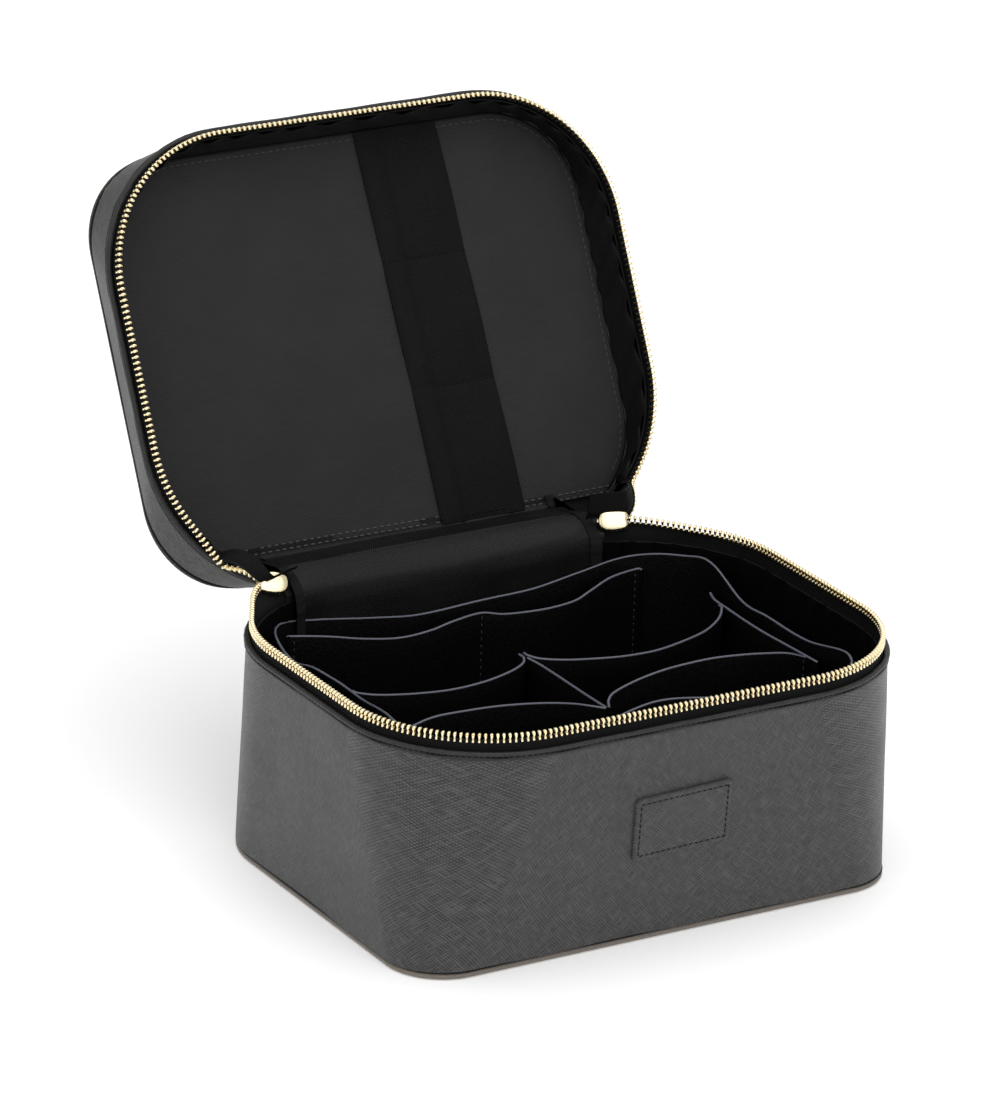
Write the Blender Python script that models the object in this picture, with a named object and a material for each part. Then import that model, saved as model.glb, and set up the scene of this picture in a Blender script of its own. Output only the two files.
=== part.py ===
"""Makeup train case: a leather box with a zipped, hinged lid and a lift-out divider insert.

Metres, +Z up. The origin is the middle of the base, on the surface the case stands on.
+X is the case's right side, -Y its front. The lid is modelled shut, in the hinge's own frame,
and turned open by LID_OPENING. Sheets that lie against each other keep CLEARANCE between them.
"""
import math

import bmesh
import bpy
from mathutils import Vector

# ---- Driving dimensions ------------------------------------------------------------------

CLEARANCE = 0.0003

# Outline of the leather at the base, at the zip and on the lid's top panel.
BASE = {"half_x": 0.1166, "front": -0.0919, "back": 0.0919, "r_front": 0.025, "r_back": 0.042}
RIM = {"half_x": 0.1230, "front": -0.1040, "back": 0.0928, "r_front": 0.062, "r_back": 0.068}
TOP = {"half_x": 0.1170, "front": -0.0990, "back": 0.0865, "r_front": 0.029, "r_back": 0.037}

ZIP_Z = 0.1045              # plane where the two rows of zip teeth meet
LEATHER_GAP = 0.0067        # from that plane to the leather's edge, on the body and on the lid
BODY_TOP = ZIP_Z - LEATHER_GAP
LID_EDGE = ZIP_Z + LEATHER_GAP
LID_TOP_Z = 0.1335          # outside of the lid's top panel, lid shut

LEATHER = 0.0016
BOARD = 0.0010
LINING = 0.0006
HEM = 0.0006
HEM_HEIGHT = 0.0040
PANEL = 0.0022              # base and top panels, leather over board
WELT = 0.0014               # height of the sewn welt next to each panel
WELT_PROUD = 0.0005

# Insets of the layers from the outside of the leather.
TAPE_INSET = LEATHER + CLEARANCE
TAPE = 0.0006
BOARD_INSET = LEATHER + CLEARANCE
LINING_INSET = BOARD_INSET + BOARD + CLEARANCE
HINGE_LINING_INSET = LINING_INSET + LINING + CLEARANCE
TEETH_INSET = (0.0010, 0.0034)
TEETH_HEIGHT = 0.0038
TEETH_GAP = 0.0002          # from the zip's plane to each row of teeth
PANEL_ROUND = 0.0008        # rounding of the outer edge of the base and top panels
LINING_TOP_DROP = 0.0013    # from the body leather's edge down to the lining's edge
LID_LINING_DROP = 0.0010    # the same inside the lid

# Hinge
HINGE_Y = 0.0924
HINGE_Z = 0.0997
LID_OPENING = math.radians(116.8)
ZIP_ENDS = (0.0925, 0.0865)     # distance of the zip's left and right end from the middle
SLIDER_PLACES = (0.0845, 0.0785)
HINGE_ENDS = (0.0770, 0.0710)   # the leather hinge reaches this far left and right

# Brush band on the lid's lining, with its two rows of stitching between three loops.
BAND_X = (0.0105, 0.0525)
BAND_Y = (-0.0900, -0.0385, 0.0172, 0.0760)
BAND_THICKNESS = 0.0007
BAND_RISE = 0.0016

# Insert: a box of sewn sheets with painted edges
SHEET = 0.0015
INSERT_FLOOR_Z = 0.0068
INSERT = {"half_x": 0.1025, "front": -0.0830, "back": 0.0825, "r_front": 0.034, "r_back": 0.036}
INSERT_X = 0.0050           # the insert sits a little to the right in the case
SEAM_Z = 0.0840             # height of the sheets at their seams
POCKET_ENDS_Y = (0.0700, 0.0740)    # the flat pocket across the back, left and right
BACK_SEAM = (-0.0050, 0.0170)
FRONT_SEAM = (-0.0035, -0.0460)
LEFT_SEAM_Y = -0.0390
SIDE_POCKET_X = 0.0998
PINCH = {"depth": 0.0080, "y": 0.0130, "reach": 0.0300}     # the left wall, drawn in at a seam
SAG_IN = {"depth": 0.0115, "x": 0.0080, "reach": 0.0550}     # the front wall, sagging inwards
SEWING_GAP = 0.0009         # from a sheet's end to the wall it is sewn to
CROSS_GAP = 0.0006
POCKET_GAP = 0.0012

# Front patch
PATCH_CENTRE_X = 0.0008
PATCH_CENTRE_Z = 0.0535
PATCH_SIZE = (0.0455, 0.0285)
PATCH_TURN = math.radians(-1.7)
PATCH_THICKNESS = 0.0016
PATCH_CORNER = 0.0020

# Carrying handle on the lid
HANDLE_HALF_X = 0.0560
HANDLE_REACH = 0.0360
STRAP = (0.0170, 0.0036)
RING_WIRE = 0.0010
RING_HALF_X = 0.0110
RING_DEPTH = 0.0090
TAB_HALF_X = 0.0075
TAB_FOOT = 0.0075           # from the ring's bar to the end of the tab's foot
TAB_THICKNESS = 0.0014
TAB_PLAY = 0.0006           # between the ring's wire and the tab round it
STRAP_BEND = 0.0200         # radius of the strap's bends
RING_CORNER = 0.0020
PIVOT_LIFT = 0.0030         # from the lid's top panel up to the ring's bar

ARC_STEPS = 8

# ---- Materials ---------------------------------------------------------------------------

FINISHES = {
    "leather": ((0.030, 0.030, 0.032), 0.42, 0.0),
    "board": ((0.22, 0.19, 0.15), 0.9, 0.0),
    "lining": ((0.020, 0.020, 0.022), 0.85, 0.0),
    "panel_lining": ((0.040, 0.040, 0.043), 0.9, 0.0),
    "tape": ((0.006, 0.006, 0.006), 0.8, 0.0),
    "gold": ((0.86, 0.70, 0.42), 0.22, 1.0),
    "elastic": ((0.010, 0.010, 0.011), 0.9, 0.0),
    "sheet": ((0.010, 0.010, 0.011), 0.5, 0.0),
    "satin": ((0.022, 0.022, 0.026), 0.35, 0.0),
}


def material(finish):
    found = bpy.data.materials.get(finish)
    if found:
        return found
    colour, roughness, metallic = FINISHES[finish]
    made = bpy.data.materials.new(finish)
    made.use_nodes = True
    shader = made.node_tree.nodes["Principled BSDF"]
    shader.inputs["Base Color"].default_value = (*colour, 1.0)
    shader.inputs["Roughness"].default_value = roughness
    shader.inputs["Metallic"].default_value = metallic
    return made


# ---- Outlines ----------------------------------------------------------------------------

def mix(low, high, t):
    return {key: low[key] + (high[key] - low[key]) * t for key in low}


def arc(centre, radius, start, end, steps=ARC_STEPS):
    return [(centre[0] + radius * math.cos(math.radians(start + (end - start) * i / steps)),
             centre[1] + radius * math.sin(math.radians(start + (end - start) * i / steps)))
            for i in range(steps + 1)]


def back_corner(shape, inset):
    """Centre and radius of the right-hand back corner."""
    centre = (shape["half_x"] - shape["r_back"], shape["back"] - shape["r_back"])
    return centre, shape["r_back"] - inset


def full_outline(shape, inset=0.0):
    """Plan outline from the left back corner, round the front, to the right back corner."""
    (back_x, back_y), back_r = back_corner(shape, inset)
    front_x = shape["half_x"] - shape["r_front"]
    front_y = shape["front"] + shape["r_front"]
    front_r = shape["r_front"] - inset
    points = arc((-back_x, back_y), back_r, 90.0, 180.0)
    points += arc((-front_x, front_y), front_r, 180.0, 270.0)
    points += arc((front_x, front_y), front_r, 270.0, 360.0)
    points += arc((back_x, back_y), back_r, 0.0, 90.0)
    return points


def cut_place(end_x):
    """Where x = end_x falls on the rim's right back arc: a step, and a fraction of the next."""
    xs = [x for x, _ in full_outline(RIM)[-ARC_STEPS - 1:]]
    step = max(i for i, x in enumerate(xs) if x >= end_x)
    return step, (xs[step] - end_x) / (xs[step] - xs[step + 1])


def cut_point(right_arc, place):
    step, part = place
    (x0, y0), (x1, y1) = right_arc[step], right_arc[step + 1]
    return (x0 + (x1 - x0) * part, y0 + (y1 - y0) * part)


def zip_outline(shape, inset=0.0):
    """The outline between the zip's two ends, round the front."""
    points = full_outline(shape, inset)
    right_arc = points[-ARC_STEPS - 1:]
    left_place, right_place = (cut_place(end) for end in ZIP_ENDS)
    left_x, left_y = cut_point(right_arc, left_place)
    kept = points[ARC_STEPS - left_place[0]:right_place[0] - ARC_STEPS]
    return [(-left_x, left_y)] + kept + [cut_point(right_arc, right_place)]


def back_outline(shape, inset=0.0):
    """The outline's back only, over the width of the leather hinge."""
    right_arc = full_outline(shape, inset)[-ARC_STEPS - 1:]
    left_half, right_half = ([cut_point(right_arc, place)] + right_arc[place[0] + 1:]
                             for place in (cut_place(end) for end in HINGE_ENDS))
    return right_half + [(-x, y) for x, y in reversed(left_half)]


def body_shape(z):
    return mix(BASE, RIM, z / BODY_TOP)


def lid_shape(z):
    return mix(RIM, TOP, max(0.0, z - LID_EDGE) / (LID_TOP_Z - LID_EDGE))


def at_height(points, z):
    return [Vector((x, y, z)) for x, y in points]


# ---- Solids ------------------------------------------------------------------------------

def add_object(name, mesh_data, finish, parent=None):
    bmesh.ops.recalc_face_normals(mesh_data, faces=mesh_data.faces)
    mesh = bpy.data.meshes.new(name)
    mesh_data.to_mesh(mesh)
    mesh_data.free()
    mesh.shade_smooth()
    mesh.set_sharp_from_angle(angle=math.radians(35))
    mesh.materials.append(material(finish))
    made = bpy.data.objects.new(name, mesh)
    bpy.context.collection.objects.link(made)
    made.parent = parent
    return made


def bridge(data, low, high, wrap):
    count = len(low)
    for i in range(count if wrap else count - 1):
        j = (i + 1) % count
        data.faces.new((low[i], low[j], high[j], high[i]))


def ring(name, loops, finish, parent=None):
    """Closed band: the loops go once round its cross-section."""
    data = bmesh.new()
    rows = [[data.verts.new(point) for point in loop] for loop in loops]
    for i, row in enumerate(rows):
        bridge(data, row, rows[(i + 1) % len(rows)], True)
    return add_object(name, data, finish, parent)


def strip(name, loops, finish, parent=None):
    """Band with two ends: the loops go once round its cross-section."""
    data = bmesh.new()
    rows = [[data.verts.new(point) for point in loop] for loop in loops]
    for i, row in enumerate(rows):
        bridge(data, row, rows[(i + 1) % len(rows)], False)
    data.faces.new([row[0] for row in rows])
    data.faces.new([row[-1] for row in rows])
    return add_object(name, data, finish, parent)


def stack(name, loops, finish, parent=None):
    """Solid whose first and last loops are closed by flat faces."""
    data = bmesh.new()
    rows = [[data.verts.new(point) for point in loop] for loop in loops]
    for low, high in zip(rows, rows[1:]):
        bridge(data, low, high, True)
    data.faces.new(rows[0])
    data.faces.new(rows[-1])
    return add_object(name, data, finish, parent)


def section(shape_at, z_low, z_high, outer, inner, outline=full_outline):
    """The loops round a band between two heights and two insets.

    The lid's wall changes slope at its edge, so a band that passes that height bends there.
    """
    heights = [z_low, z_high]
    if z_low < LID_EDGE < z_high:
        heights.insert(1, LID_EDGE)
    outside = [at_height(outline(shape_at(z), outer), z) for z in heights]
    inside = [at_height(outline(shape_at(z), inner), z) for z in reversed(heights)]
    return outside + inside


def zip_section(shape_at, z_low, z_high, outer, inner):
    return section(shape_at, z_low, z_high, outer, inner, zip_outline)


def hinge_section(shape_at, z_low, z_high, outer, inner):
    return section(shape_at, z_low, z_high, outer, inner, back_outline)


def plate_loops(shape_at, levels):
    return [at_height(full_outline(shape_at(z), inset), z) for z, inset in levels]


def prism(name, outline, depth, finish, parent=None):
    """Outline in the XZ plane, pushed along +Y by depth."""
    near = [Vector((x, 0.0, z)) for x, z in outline]
    far = [point + Vector((0.0, depth, 0.0)) for point in near]
    return stack(name, [near, far], finish, parent)


# ---- Body --------------------------------------------------------------------------------

BASE_BOARD = 0.0030         # the stiff boards in the base and in the lid's top
WELT_Z = PANEL + CLEARANCE
SHELL_Z = WELT_Z + WELT + CLEARANCE
BASE_BOARD_TOP = WELT_Z + BASE_BOARD
TAPE_OVERLAP = 0.0085       # how far the tape goes down behind the leather
TAPE_TIP = 0.0043           # from the zip's plane to the edge of the tape
LEAF_TIP = 0.0005           # from the hinge's axis height to the edge of each hinge leaf
SATIN_LOW = 0.0300          # the hinge's lining reaches down the back wall to this height


def build_body():
    stack("bottom_panel", plate_loops(body_shape, ((0.0, PANEL_ROUND), (PANEL_ROUND, 0.0),
                                               (PANEL, 0.0))),
          "leather")
    ring("base_welt", section(body_shape, WELT_Z, WELT_Z + WELT, -WELT_PROUD, LEATHER), "leather")
    stack("base_board", plate_loops(body_shape, ((WELT_Z, BOARD_INSET),
                                                 (BASE_BOARD_TOP, BOARD_INSET))), "board")
    ring("body_shell", section(body_shape, SHELL_Z, BODY_TOP, 0.0, LEATHER), "leather")
    board_low = BASE_BOARD_TOP + CLEARANCE
    board_high = BODY_TOP - TAPE_OVERLAP
    ring("body_board", section(body_shape, board_low, board_high,
                               BOARD_INSET, BOARD_INSET + BOARD), "board")
    lining_top = BODY_TOP - LINING_TOP_DROP
    inner = LINING_INSET + LINING
    stack("body_lining", plate_loops(body_shape, ((board_low, LINING_INSET),
                                                  (lining_top, LINING_INSET),
                                                  (lining_top, inner),
                                                  (board_low + LINING, inner))), "lining")
    strip("body_hem", zip_section(body_shape, BODY_TOP - HEM_HEIGHT, BODY_TOP - CLEARANCE,
                                  -HEM - CLEARANCE, -CLEARANCE), "leather")
    tape_low = board_high + CLEARANCE
    strip("body_zip_tape", zip_section(body_shape, tape_low, ZIP_Z - TAPE_TIP,
                                       TAPE_INSET, TAPE_INSET + TAPE), "tape")
    strip("body_zip_teeth", zip_section(lambda z: RIM, ZIP_Z - TEETH_GAP - TEETH_HEIGHT,
                                        ZIP_Z - TEETH_GAP, *TEETH_INSET), "gold")
    strip("hinge_leaf_body", hinge_section(body_shape, tape_low, HINGE_Z - LEAF_TIP,
                                           BOARD_INSET, BOARD_INSET + BOARD), "leather")
    strip("hinge_lining_body", hinge_section(body_shape, SATIN_LOW, HINGE_Z - LEAF_TIP,
                                             HINGE_LINING_INSET, HINGE_LINING_INSET + LINING),
          "satin")


def build_patch():
    """Leather rectangle with round corners, flat against the sloping front wall."""
    width, height = PATCH_SIZE
    outline = []
    for sign_x, sign_z, start in ((1, 1, 0), (-1, 1, 90), (-1, -1, 180), (1, -1, 270)):
        centre = (sign_x * (width / 2 - PATCH_CORNER), sign_z * (height / 2 - PATCH_CORNER))
        outline += arc(centre, PATCH_CORNER, start, start + 90, 4)
    patch = prism("front_patch", outline, PATCH_THICKNESS, "leather")
    slope = math.atan2(BASE["front"] - RIM["front"], BODY_TOP)
    wall_y = body_shape(PATCH_CENTRE_Z)["front"]
    stand_off = (PATCH_THICKNESS + CLEARANCE) / math.cos(slope)
    patch.rotation_mode = "YXZ"
    patch.rotation_euler = (slope, PATCH_TURN, 0.0)
    patch.location = (PATCH_CENTRE_X, wall_y - stand_off, PATCH_CENTRE_Z)


# ---- Zip sliders and pulls ---------------------------------------------------------------

SLIDER_LENGTH = 0.0110
SLIDER_HEIGHT = 0.0080
SLIDER_PLATE = 0.0009
SLIDER_GAP = 0.0030         # between the two plates, where the teeth run
SLIDER_WEB = 0.0012
PULL_LINK = (0.0050, 0.0090)
PULL_TAB = (0.0080, 0.0260, 0.0012)
PULL_CORNER = 0.0022
LINK_WIRE = 0.0007
LINK_CORNER = 0.0016
PULL_DROP = 0.0005          # from the zip's plane down to the link's pivot
PULL_LIFT = 0.0022          # from the slider's outer plate out to the link's pivot


def slider_profile():
    """Two plates joined by a web, in the plane across the zip."""
    half = SLIDER_GAP / 2
    out = half + SLIDER_PLATE
    side = SLIDER_HEIGHT / 2
    web = SLIDER_WEB / 2
    return [(-out, -side), (-half, -side), (-half, -web), (half, -web), (half, -side),
            (out, -side), (out, side), (half, side), (half, web), (-half, web),
            (-half, side), (-out, side)]


def angle_at(shape, end_x, inset):
    """Angle on the back corner's arc where it passes x = end_x."""
    (centre_x, _), radius = back_corner(shape, inset)
    return math.degrees(math.acos((end_x - centre_x) / radius))


def build_slider(name, side, place):
    """side is -1 for the left end of the zip and +1 for the right end."""
    inset = sum(TEETH_INSET) / 2
    (centre_x, centre_y), radius = back_corner(RIM, inset)
    angle = math.radians(angle_at(RIM, place, inset))
    holder = bpy.data.objects.new(name + "_frame", None)
    bpy.context.collection.objects.link(holder)
    holder.location = (side * (centre_x + radius * math.cos(angle)),
                       centre_y + radius * math.sin(angle), ZIP_Z)
    holder.rotation_euler = (0.0, 0.0, angle if side > 0 else math.pi - angle)
    # In the holder's frame +X points out of the case and Y runs along the zip.
    body = prism(name, slider_profile(), SLIDER_LENGTH, "gold", holder)
    body.location = (0.0, -SLIDER_LENGTH / 2, 0.0)
    pivot_x = SLIDER_GAP / 2 + SLIDER_PLATE + PULL_LIFT
    pull = bpy.data.objects.new(name + "_pull_frame", None)
    bpy.context.collection.objects.link(pull)
    pull.parent = holder
    pull.location = (pivot_x, 0.0, -PULL_DROP)
    build_pull(name.replace("slider", "pull"), pull)


def wire_ring(name, outline, wire, finish, parent, sides=8):
    """Closed wire along an outline in the frame's YZ plane."""
    data = bmesh.new()
    rows = []
    count = len(outline)
    for i, (y, z) in enumerate(outline):
        ahead = Vector(outline[(i + 1) % count])
        behind = Vector(outline[i - 1])
        normal = (ahead - behind).normalized()
        outward = Vector((normal.y, -normal.x))
        rows.append([data.verts.new((wire * math.cos(2 * math.pi * k / sides),
                                     y + outward.x * wire * math.sin(2 * math.pi * k / sides),
                                     z + outward.y * wire * math.sin(2 * math.pi * k / sides)))
                     for k in range(sides)])
    for i, row in enumerate(rows):
        bridge(data, row, rows[(i + 1) % count], True)
    return add_object(name, data, finish, parent)


def rounded_rectangle(half_y, z_low, z_high, radius, steps):
    points = arc((half_y - radius, z_high - radius), radius, 0, 90, steps)
    points += arc((-half_y + radius, z_high - radius), radius, 90, 180, steps)
    points += arc((-half_y + radius, z_low + radius), radius, 180, 270, steps)
    points += arc((half_y - radius, z_low + radius), radius, 270, 360, steps)
    return points


def build_pull(name, frame):
    """A wire link on the slider, and the tab that hangs from it."""
    half_y, drop = PULL_LINK[0] / 2, PULL_LINK[1]
    link = rounded_rectangle(half_y, -drop, 0.0, LINK_CORNER, 4)
    wire_ring(name + "_link", link, LINK_WIRE, "gold", frame)
    width, length, thickness = PULL_TAB
    tab_top = -drop - LINK_WIRE - CLEARANCE
    outline = rounded_rectangle(width / 2, tab_top - length, tab_top, PULL_CORNER, 4)
    near = [Vector((-thickness / 2, y, z)) for y, z in outline]
    far = [Vector((thickness / 2, y, z)) for y, z in outline]
    stack(name + "_tab", [near, far], "gold", frame)


# ---- Lid ---------------------------------------------------------------------------------

LID_WELT_TOP = LID_TOP_Z - PANEL - CLEARANCE
LID_WELT_LOW = LID_WELT_TOP - WELT
LID_BOARD_LOW = LID_WELT_TOP - BASE_BOARD


LINING_PANEL = 0.0022
LID_PANEL_LOW = LID_BOARD_LOW - CLEARANCE - LINING_PANEL
PANEL_EASE = 0.0006         # the lining panel's corners and its gap to the wall's lining


def lid_frame_object():
    """Empty on the hinge's axis; the lid's pieces are built shut, relative to it."""
    frame = bpy.data.objects.new("lid_frame", None)
    bpy.context.collection.objects.link(frame)
    frame.location = (0.0, HINGE_Y, HINGE_Z)
    frame.rotation_euler = (-LID_OPENING, 0.0, 0.0)
    return frame


def from_hinge(loops):
    axis = Vector((0.0, HINGE_Y, HINGE_Z))
    return [[point - axis for point in loop] for loop in loops]


def build_lid(frame):
    ring("lid_band", from_hinge(section(lid_shape, LID_EDGE, LID_WELT_LOW - CLEARANCE,
                                        0.0, LEATHER)), "leather", frame)
    ring("lid_welt", from_hinge(section(lid_shape, LID_WELT_LOW, LID_WELT_TOP,
                                        -WELT_PROUD, LEATHER)), "leather", frame)
    top = ((LID_TOP_Z - PANEL, 0.0), (LID_TOP_Z - PANEL_ROUND, 0.0), (LID_TOP_Z, PANEL_ROUND))
    stack("lid_top_panel", from_hinge(plate_loops(lid_shape, top)), "leather", frame)
    board = ((LID_BOARD_LOW, BOARD_INSET), (LID_WELT_TOP, BOARD_INSET))
    stack("lid_board", from_hinge(plate_loops(lid_shape, board)), "board", frame)
    strip("lid_hem", from_hinge(zip_section(lid_shape, LID_EDGE + CLEARANCE,
                                            LID_EDGE + HEM_HEIGHT, -HEM - CLEARANCE,
                                            -CLEARANCE)), "leather", frame)
    tape_high = LID_EDGE + TAPE_OVERLAP
    strip("lid_zip_tape", from_hinge(zip_section(lid_shape, ZIP_Z + TAPE_TIP, tape_high,
                                                 TAPE_INSET, TAPE_INSET + TAPE)), "tape", frame)
    strip("lid_zip_teeth", from_hinge(zip_section(lambda z: RIM, ZIP_Z + TEETH_GAP,
                                                  ZIP_Z + TEETH_GAP + TEETH_HEIGHT,
                                                  *TEETH_INSET)), "gold", frame)
    strip("hinge_leaf_lid", from_hinge(hinge_section(lid_shape, HINGE_Z + LEAF_TIP, tape_high,
                                                     BOARD_INSET, BOARD_INSET + BOARD)),
          "leather", frame)
    wall_high = LID_BOARD_LOW - CLEARANCE
    ring("lid_side_board", from_hinge(section(lid_shape, tape_high + CLEARANCE, wall_high,
                                              BOARD_INSET, BOARD_INSET + BOARD)), "board", frame)
    ring("lid_lining_wall", from_hinge(section(lid_shape, LID_EDGE - LID_LINING_DROP, wall_high,
                                               LINING_INSET, LINING_INSET + LINING)),
         "lining", frame)
    panel_inset = LINING_INSET + LINING + CLEARANCE + PANEL_EASE
    panel = ((LID_PANEL_LOW, panel_inset + PANEL_EASE), (LID_PANEL_LOW + PANEL_EASE, panel_inset),
             (wall_high, panel_inset))
    stack("lid_lining_panel", from_hinge(plate_loops(lid_shape, panel)), "panel_lining", frame)
    strip("hinge_lining_lid", from_hinge(hinge_section(lid_shape, HINGE_Z + LEAF_TIP,
                                                       LID_PANEL_LOW - CLEARANCE,
                                                       HINGE_LINING_INSET,
                                                       HINGE_LINING_INSET + LINING)),
          "satin", frame)
    for index, name in enumerate(("front", "middle", "back")):
        build_brush_loop("brush_loop_" + name, BAND_Y[index], BAND_Y[index + 1], frame)


def build_brush_loop(name, y_start, y_end, frame):
    """One stretch of the elastic band, sewn down at both ends and slightly bowed between."""
    steps = 10
    seam = 0.0004           # half the gap at each row of stitching
    top = LID_PANEL_LOW - CLEARANCE
    low_x, high_x = BAND_X
    loops = []
    for x, side in ((low_x, 0), (high_x, 0), (high_x, 1), (low_x, 1)):
        row = []
        for i in range(steps + 1):
            t = i / steps
            y = y_start + seam + (y_end - y_start - 2 * seam) * t
            bow = BAND_RISE * math.sin(math.pi * t) ** 0.8
            row.append(Vector((x, y, top - bow - BAND_THICKNESS * side)))
        loops.append(row)
    strip(name, from_hinge(loops), "elastic", frame)


# ---- Handle ------------------------------------------------------------------------------

def handle_pivot():
    """Middle of the handle's axis, relative to the hinge, lid shut."""
    middle_y = (TOP["front"] + TOP["back"]) / 2
    return Vector((0.0, middle_y - HINGE_Y, LID_TOP_Z + PIVOT_LIFT - HINGE_Z))


def build_handle_tab(name, side, lid):
    """Leather bridge over the ring's bar, with a foot on each side."""
    bar = RING_WIRE + TAB_PLAY
    thickness = TAB_THICKNESS
    foot = TAB_FOOT
    low = -PIVOT_LIFT + CLEARANCE
    outer = arc((0.0, 0.0), bar + thickness, 0, 180, 8)
    inner = arc((0.0, 0.0), bar, 180, 0, 8)
    outline = [(foot, low), (foot, low + thickness), (bar + thickness, low + thickness)]
    outline += outer
    outline += [(-bar - thickness, low + thickness), (-foot, low + thickness), (-foot, low),
                (-bar, low)]
    outline += inner + [(bar, low)]
    centre = handle_pivot()
    loops = []
    for x in (side * HANDLE_HALF_X - TAB_HALF_X, side * HANDLE_HALF_X + TAB_HALF_X):
        loops.append([centre + Vector((x, y, z)) for y, z in outline])
    stack(name, loops, "leather", lid)


def build_handle(lid):
    """Rings and strap in a frame whose +Z reaches away from the lid; it hangs straight down."""
    frame = bpy.data.objects.new("handle_frame", None)
    bpy.context.collection.objects.link(frame)
    frame.parent = lid
    frame.location = handle_pivot()
    frame.rotation_euler = (-(math.pi - LID_OPENING), 0.0, 0.0)
    for side, word in ((-1, "left"), (1, "right")):
        build_handle_tab("handle_tab_" + word, side, lid)
        turned = bpy.data.objects.new("ring_frame_" + word, None)
        bpy.context.collection.objects.link(turned)
        turned.parent = frame
        turned.location = (side * HANDLE_HALF_X, 0.0, 0.0)
        turned.rotation_euler = (0.0, 0.0, math.pi / 2)
        outline = rounded_rectangle(RING_HALF_X, 0.0, RING_DEPTH, RING_CORNER, 4)
        wire_ring("handle_ring_" + word, outline, RING_WIRE, "gold", turned)
    build_strap(frame)


def strap_path():
    """Middle line of the strap from one ring to the other, in the handle's XZ plane."""
    foot = RING_DEPTH + RING_WIRE + STRAP[1] / 2 + CLEARANCE
    end_x = HANDLE_HALF_X
    rise = HANDLE_REACH - foot
    points = [(-end_x, foot)]
    points += [(-end_x + STRAP_BEND * (1 - math.cos(a)), foot + rise * math.sin(a))
               for a in (math.pi / 2 * i / 8 for i in range(1, 9))]
    points += [(-x, z) for x, z in reversed(points)]
    return points


STRAP_TAPER = (0.72, 4)     # width at the rings as a share of the full width, reached in 4 steps


def build_strap(frame):
    width, thickness = STRAP
    path = strap_path()
    loops = [[], [], [], []]
    for i, (x, z) in enumerate(path):
        before = Vector(path[max(i - 1, 0)])
        after = Vector(path[min(i + 1, len(path) - 1)])
        along = (after - before).normalized()
        out = Vector((-along.y, along.x)) * thickness / 2
        from_end = min(1.0, i / STRAP_TAPER[1], (len(path) - 1 - i) / STRAP_TAPER[1])
        narrow = width / 2 * (STRAP_TAPER[0] + (1 - STRAP_TAPER[0]) * from_end)
        loops[0].append(Vector((x + out.x, -narrow, z + out.y)))
        loops[1].append(Vector((x + out.x, narrow, z + out.y)))
        loops[2].append(Vector((x - out.x, narrow, z - out.y)))
        loops[3].append(Vector((x - out.x, -narrow, z - out.y)))
    strip("handle_strap", loops, "leather", frame)


# ---- Insert ------------------------------------------------------------------------------

# Height of the outer wall's edge round the insert, as (plan angle in degrees, height).
WALL_WAVE = ((-30, 0.0920), (-14, 0.0860), (4, 0.0858), (14, 0.0857), (27, 0.0947), (45, 0.0915),
             (68, 0.0840), (107, 0.0822), (132, 0.0880), (140, 0.0900), (153, 0.0862),
             (158, 0.0872), (173, 0.0847), (197, 0.0910), (225, 0.0880), (245, 0.0900),
             (270, 0.0944), (300, 0.0905), (330, 0.0920))


def wave_height(wave, position):
    """Height between the wave's points, eased from each one to the next."""
    for (left, low), (right, high) in zip(wave, wave[1:]):
        if left <= position <= right:
            t = (position - left) / (right - left)
            return low + (high - low) * (1 - math.cos(math.pi * t)) / 2
    return wave[-1][1]


def insert_outline(inset):
    return [(x + INSERT_X, y) for x, y in full_outline(INSERT, inset)]


def pinch(y):
    """How far a divider's seam draws the left wall in at plan position y."""
    return PINCH["depth"] * math.exp(-((y - PINCH["y"]) / PINCH["reach"]) ** 2)


def sag_in(x, y):
    """How far the front wall sags into the insert at x."""
    if y > INSERT["front"] + INSERT["r_front"] / 2:
        return 0.0
    return SAG_IN["depth"] * math.exp(-((x - SAG_IN["x"]) / SAG_IN["reach"]) ** 2)


def build_insert_wall():
    loops = []
    for inset, top in ((0.0, False), (0.0, True), (SHEET, True), (SHEET, False)):
        row = []
        for x, y in subdivided(insert_outline(inset)):
            angle = math.degrees(math.atan2(y, x - INSERT_X))
            if angle < -30:
                angle += 360
            height = wave_height(WALL_WAVE, angle) if top else INSERT_FLOOR_Z + SHEET + CLEARANCE
            drawn_in = pinch(y) if x < INSERT_X - INSERT["half_x"] / 2 else 0.0
            row.append(Vector((x + drawn_in, y + sag_in(x, y), height)))
        loops.append(row)
    ring("insert_outer_wall", loops, "sheet")


def subdivided(points):
    """Closed outline with extra points on its long straight stretches."""
    result = []
    for i, point in enumerate(points):
        ahead = points[(i + 1) % len(points)]
        pieces = STRAIGHT_PIECES.get(i, 1)
        for k in range(pieces):
            t = k / pieces
            result.append((point[0] + (ahead[0] - point[0]) * t,
                           point[1] + (ahead[1] - point[1]) * t))
    return result


# The four straight stretches of an outline follow its four arcs.
STRAIGHT_PIECES = {ARC_STEPS: 8, 2 * ARC_STEPS + 1: 6, 3 * ARC_STEPS + 2: 5, 4 * ARC_STEPS + 3: 6}


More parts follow.
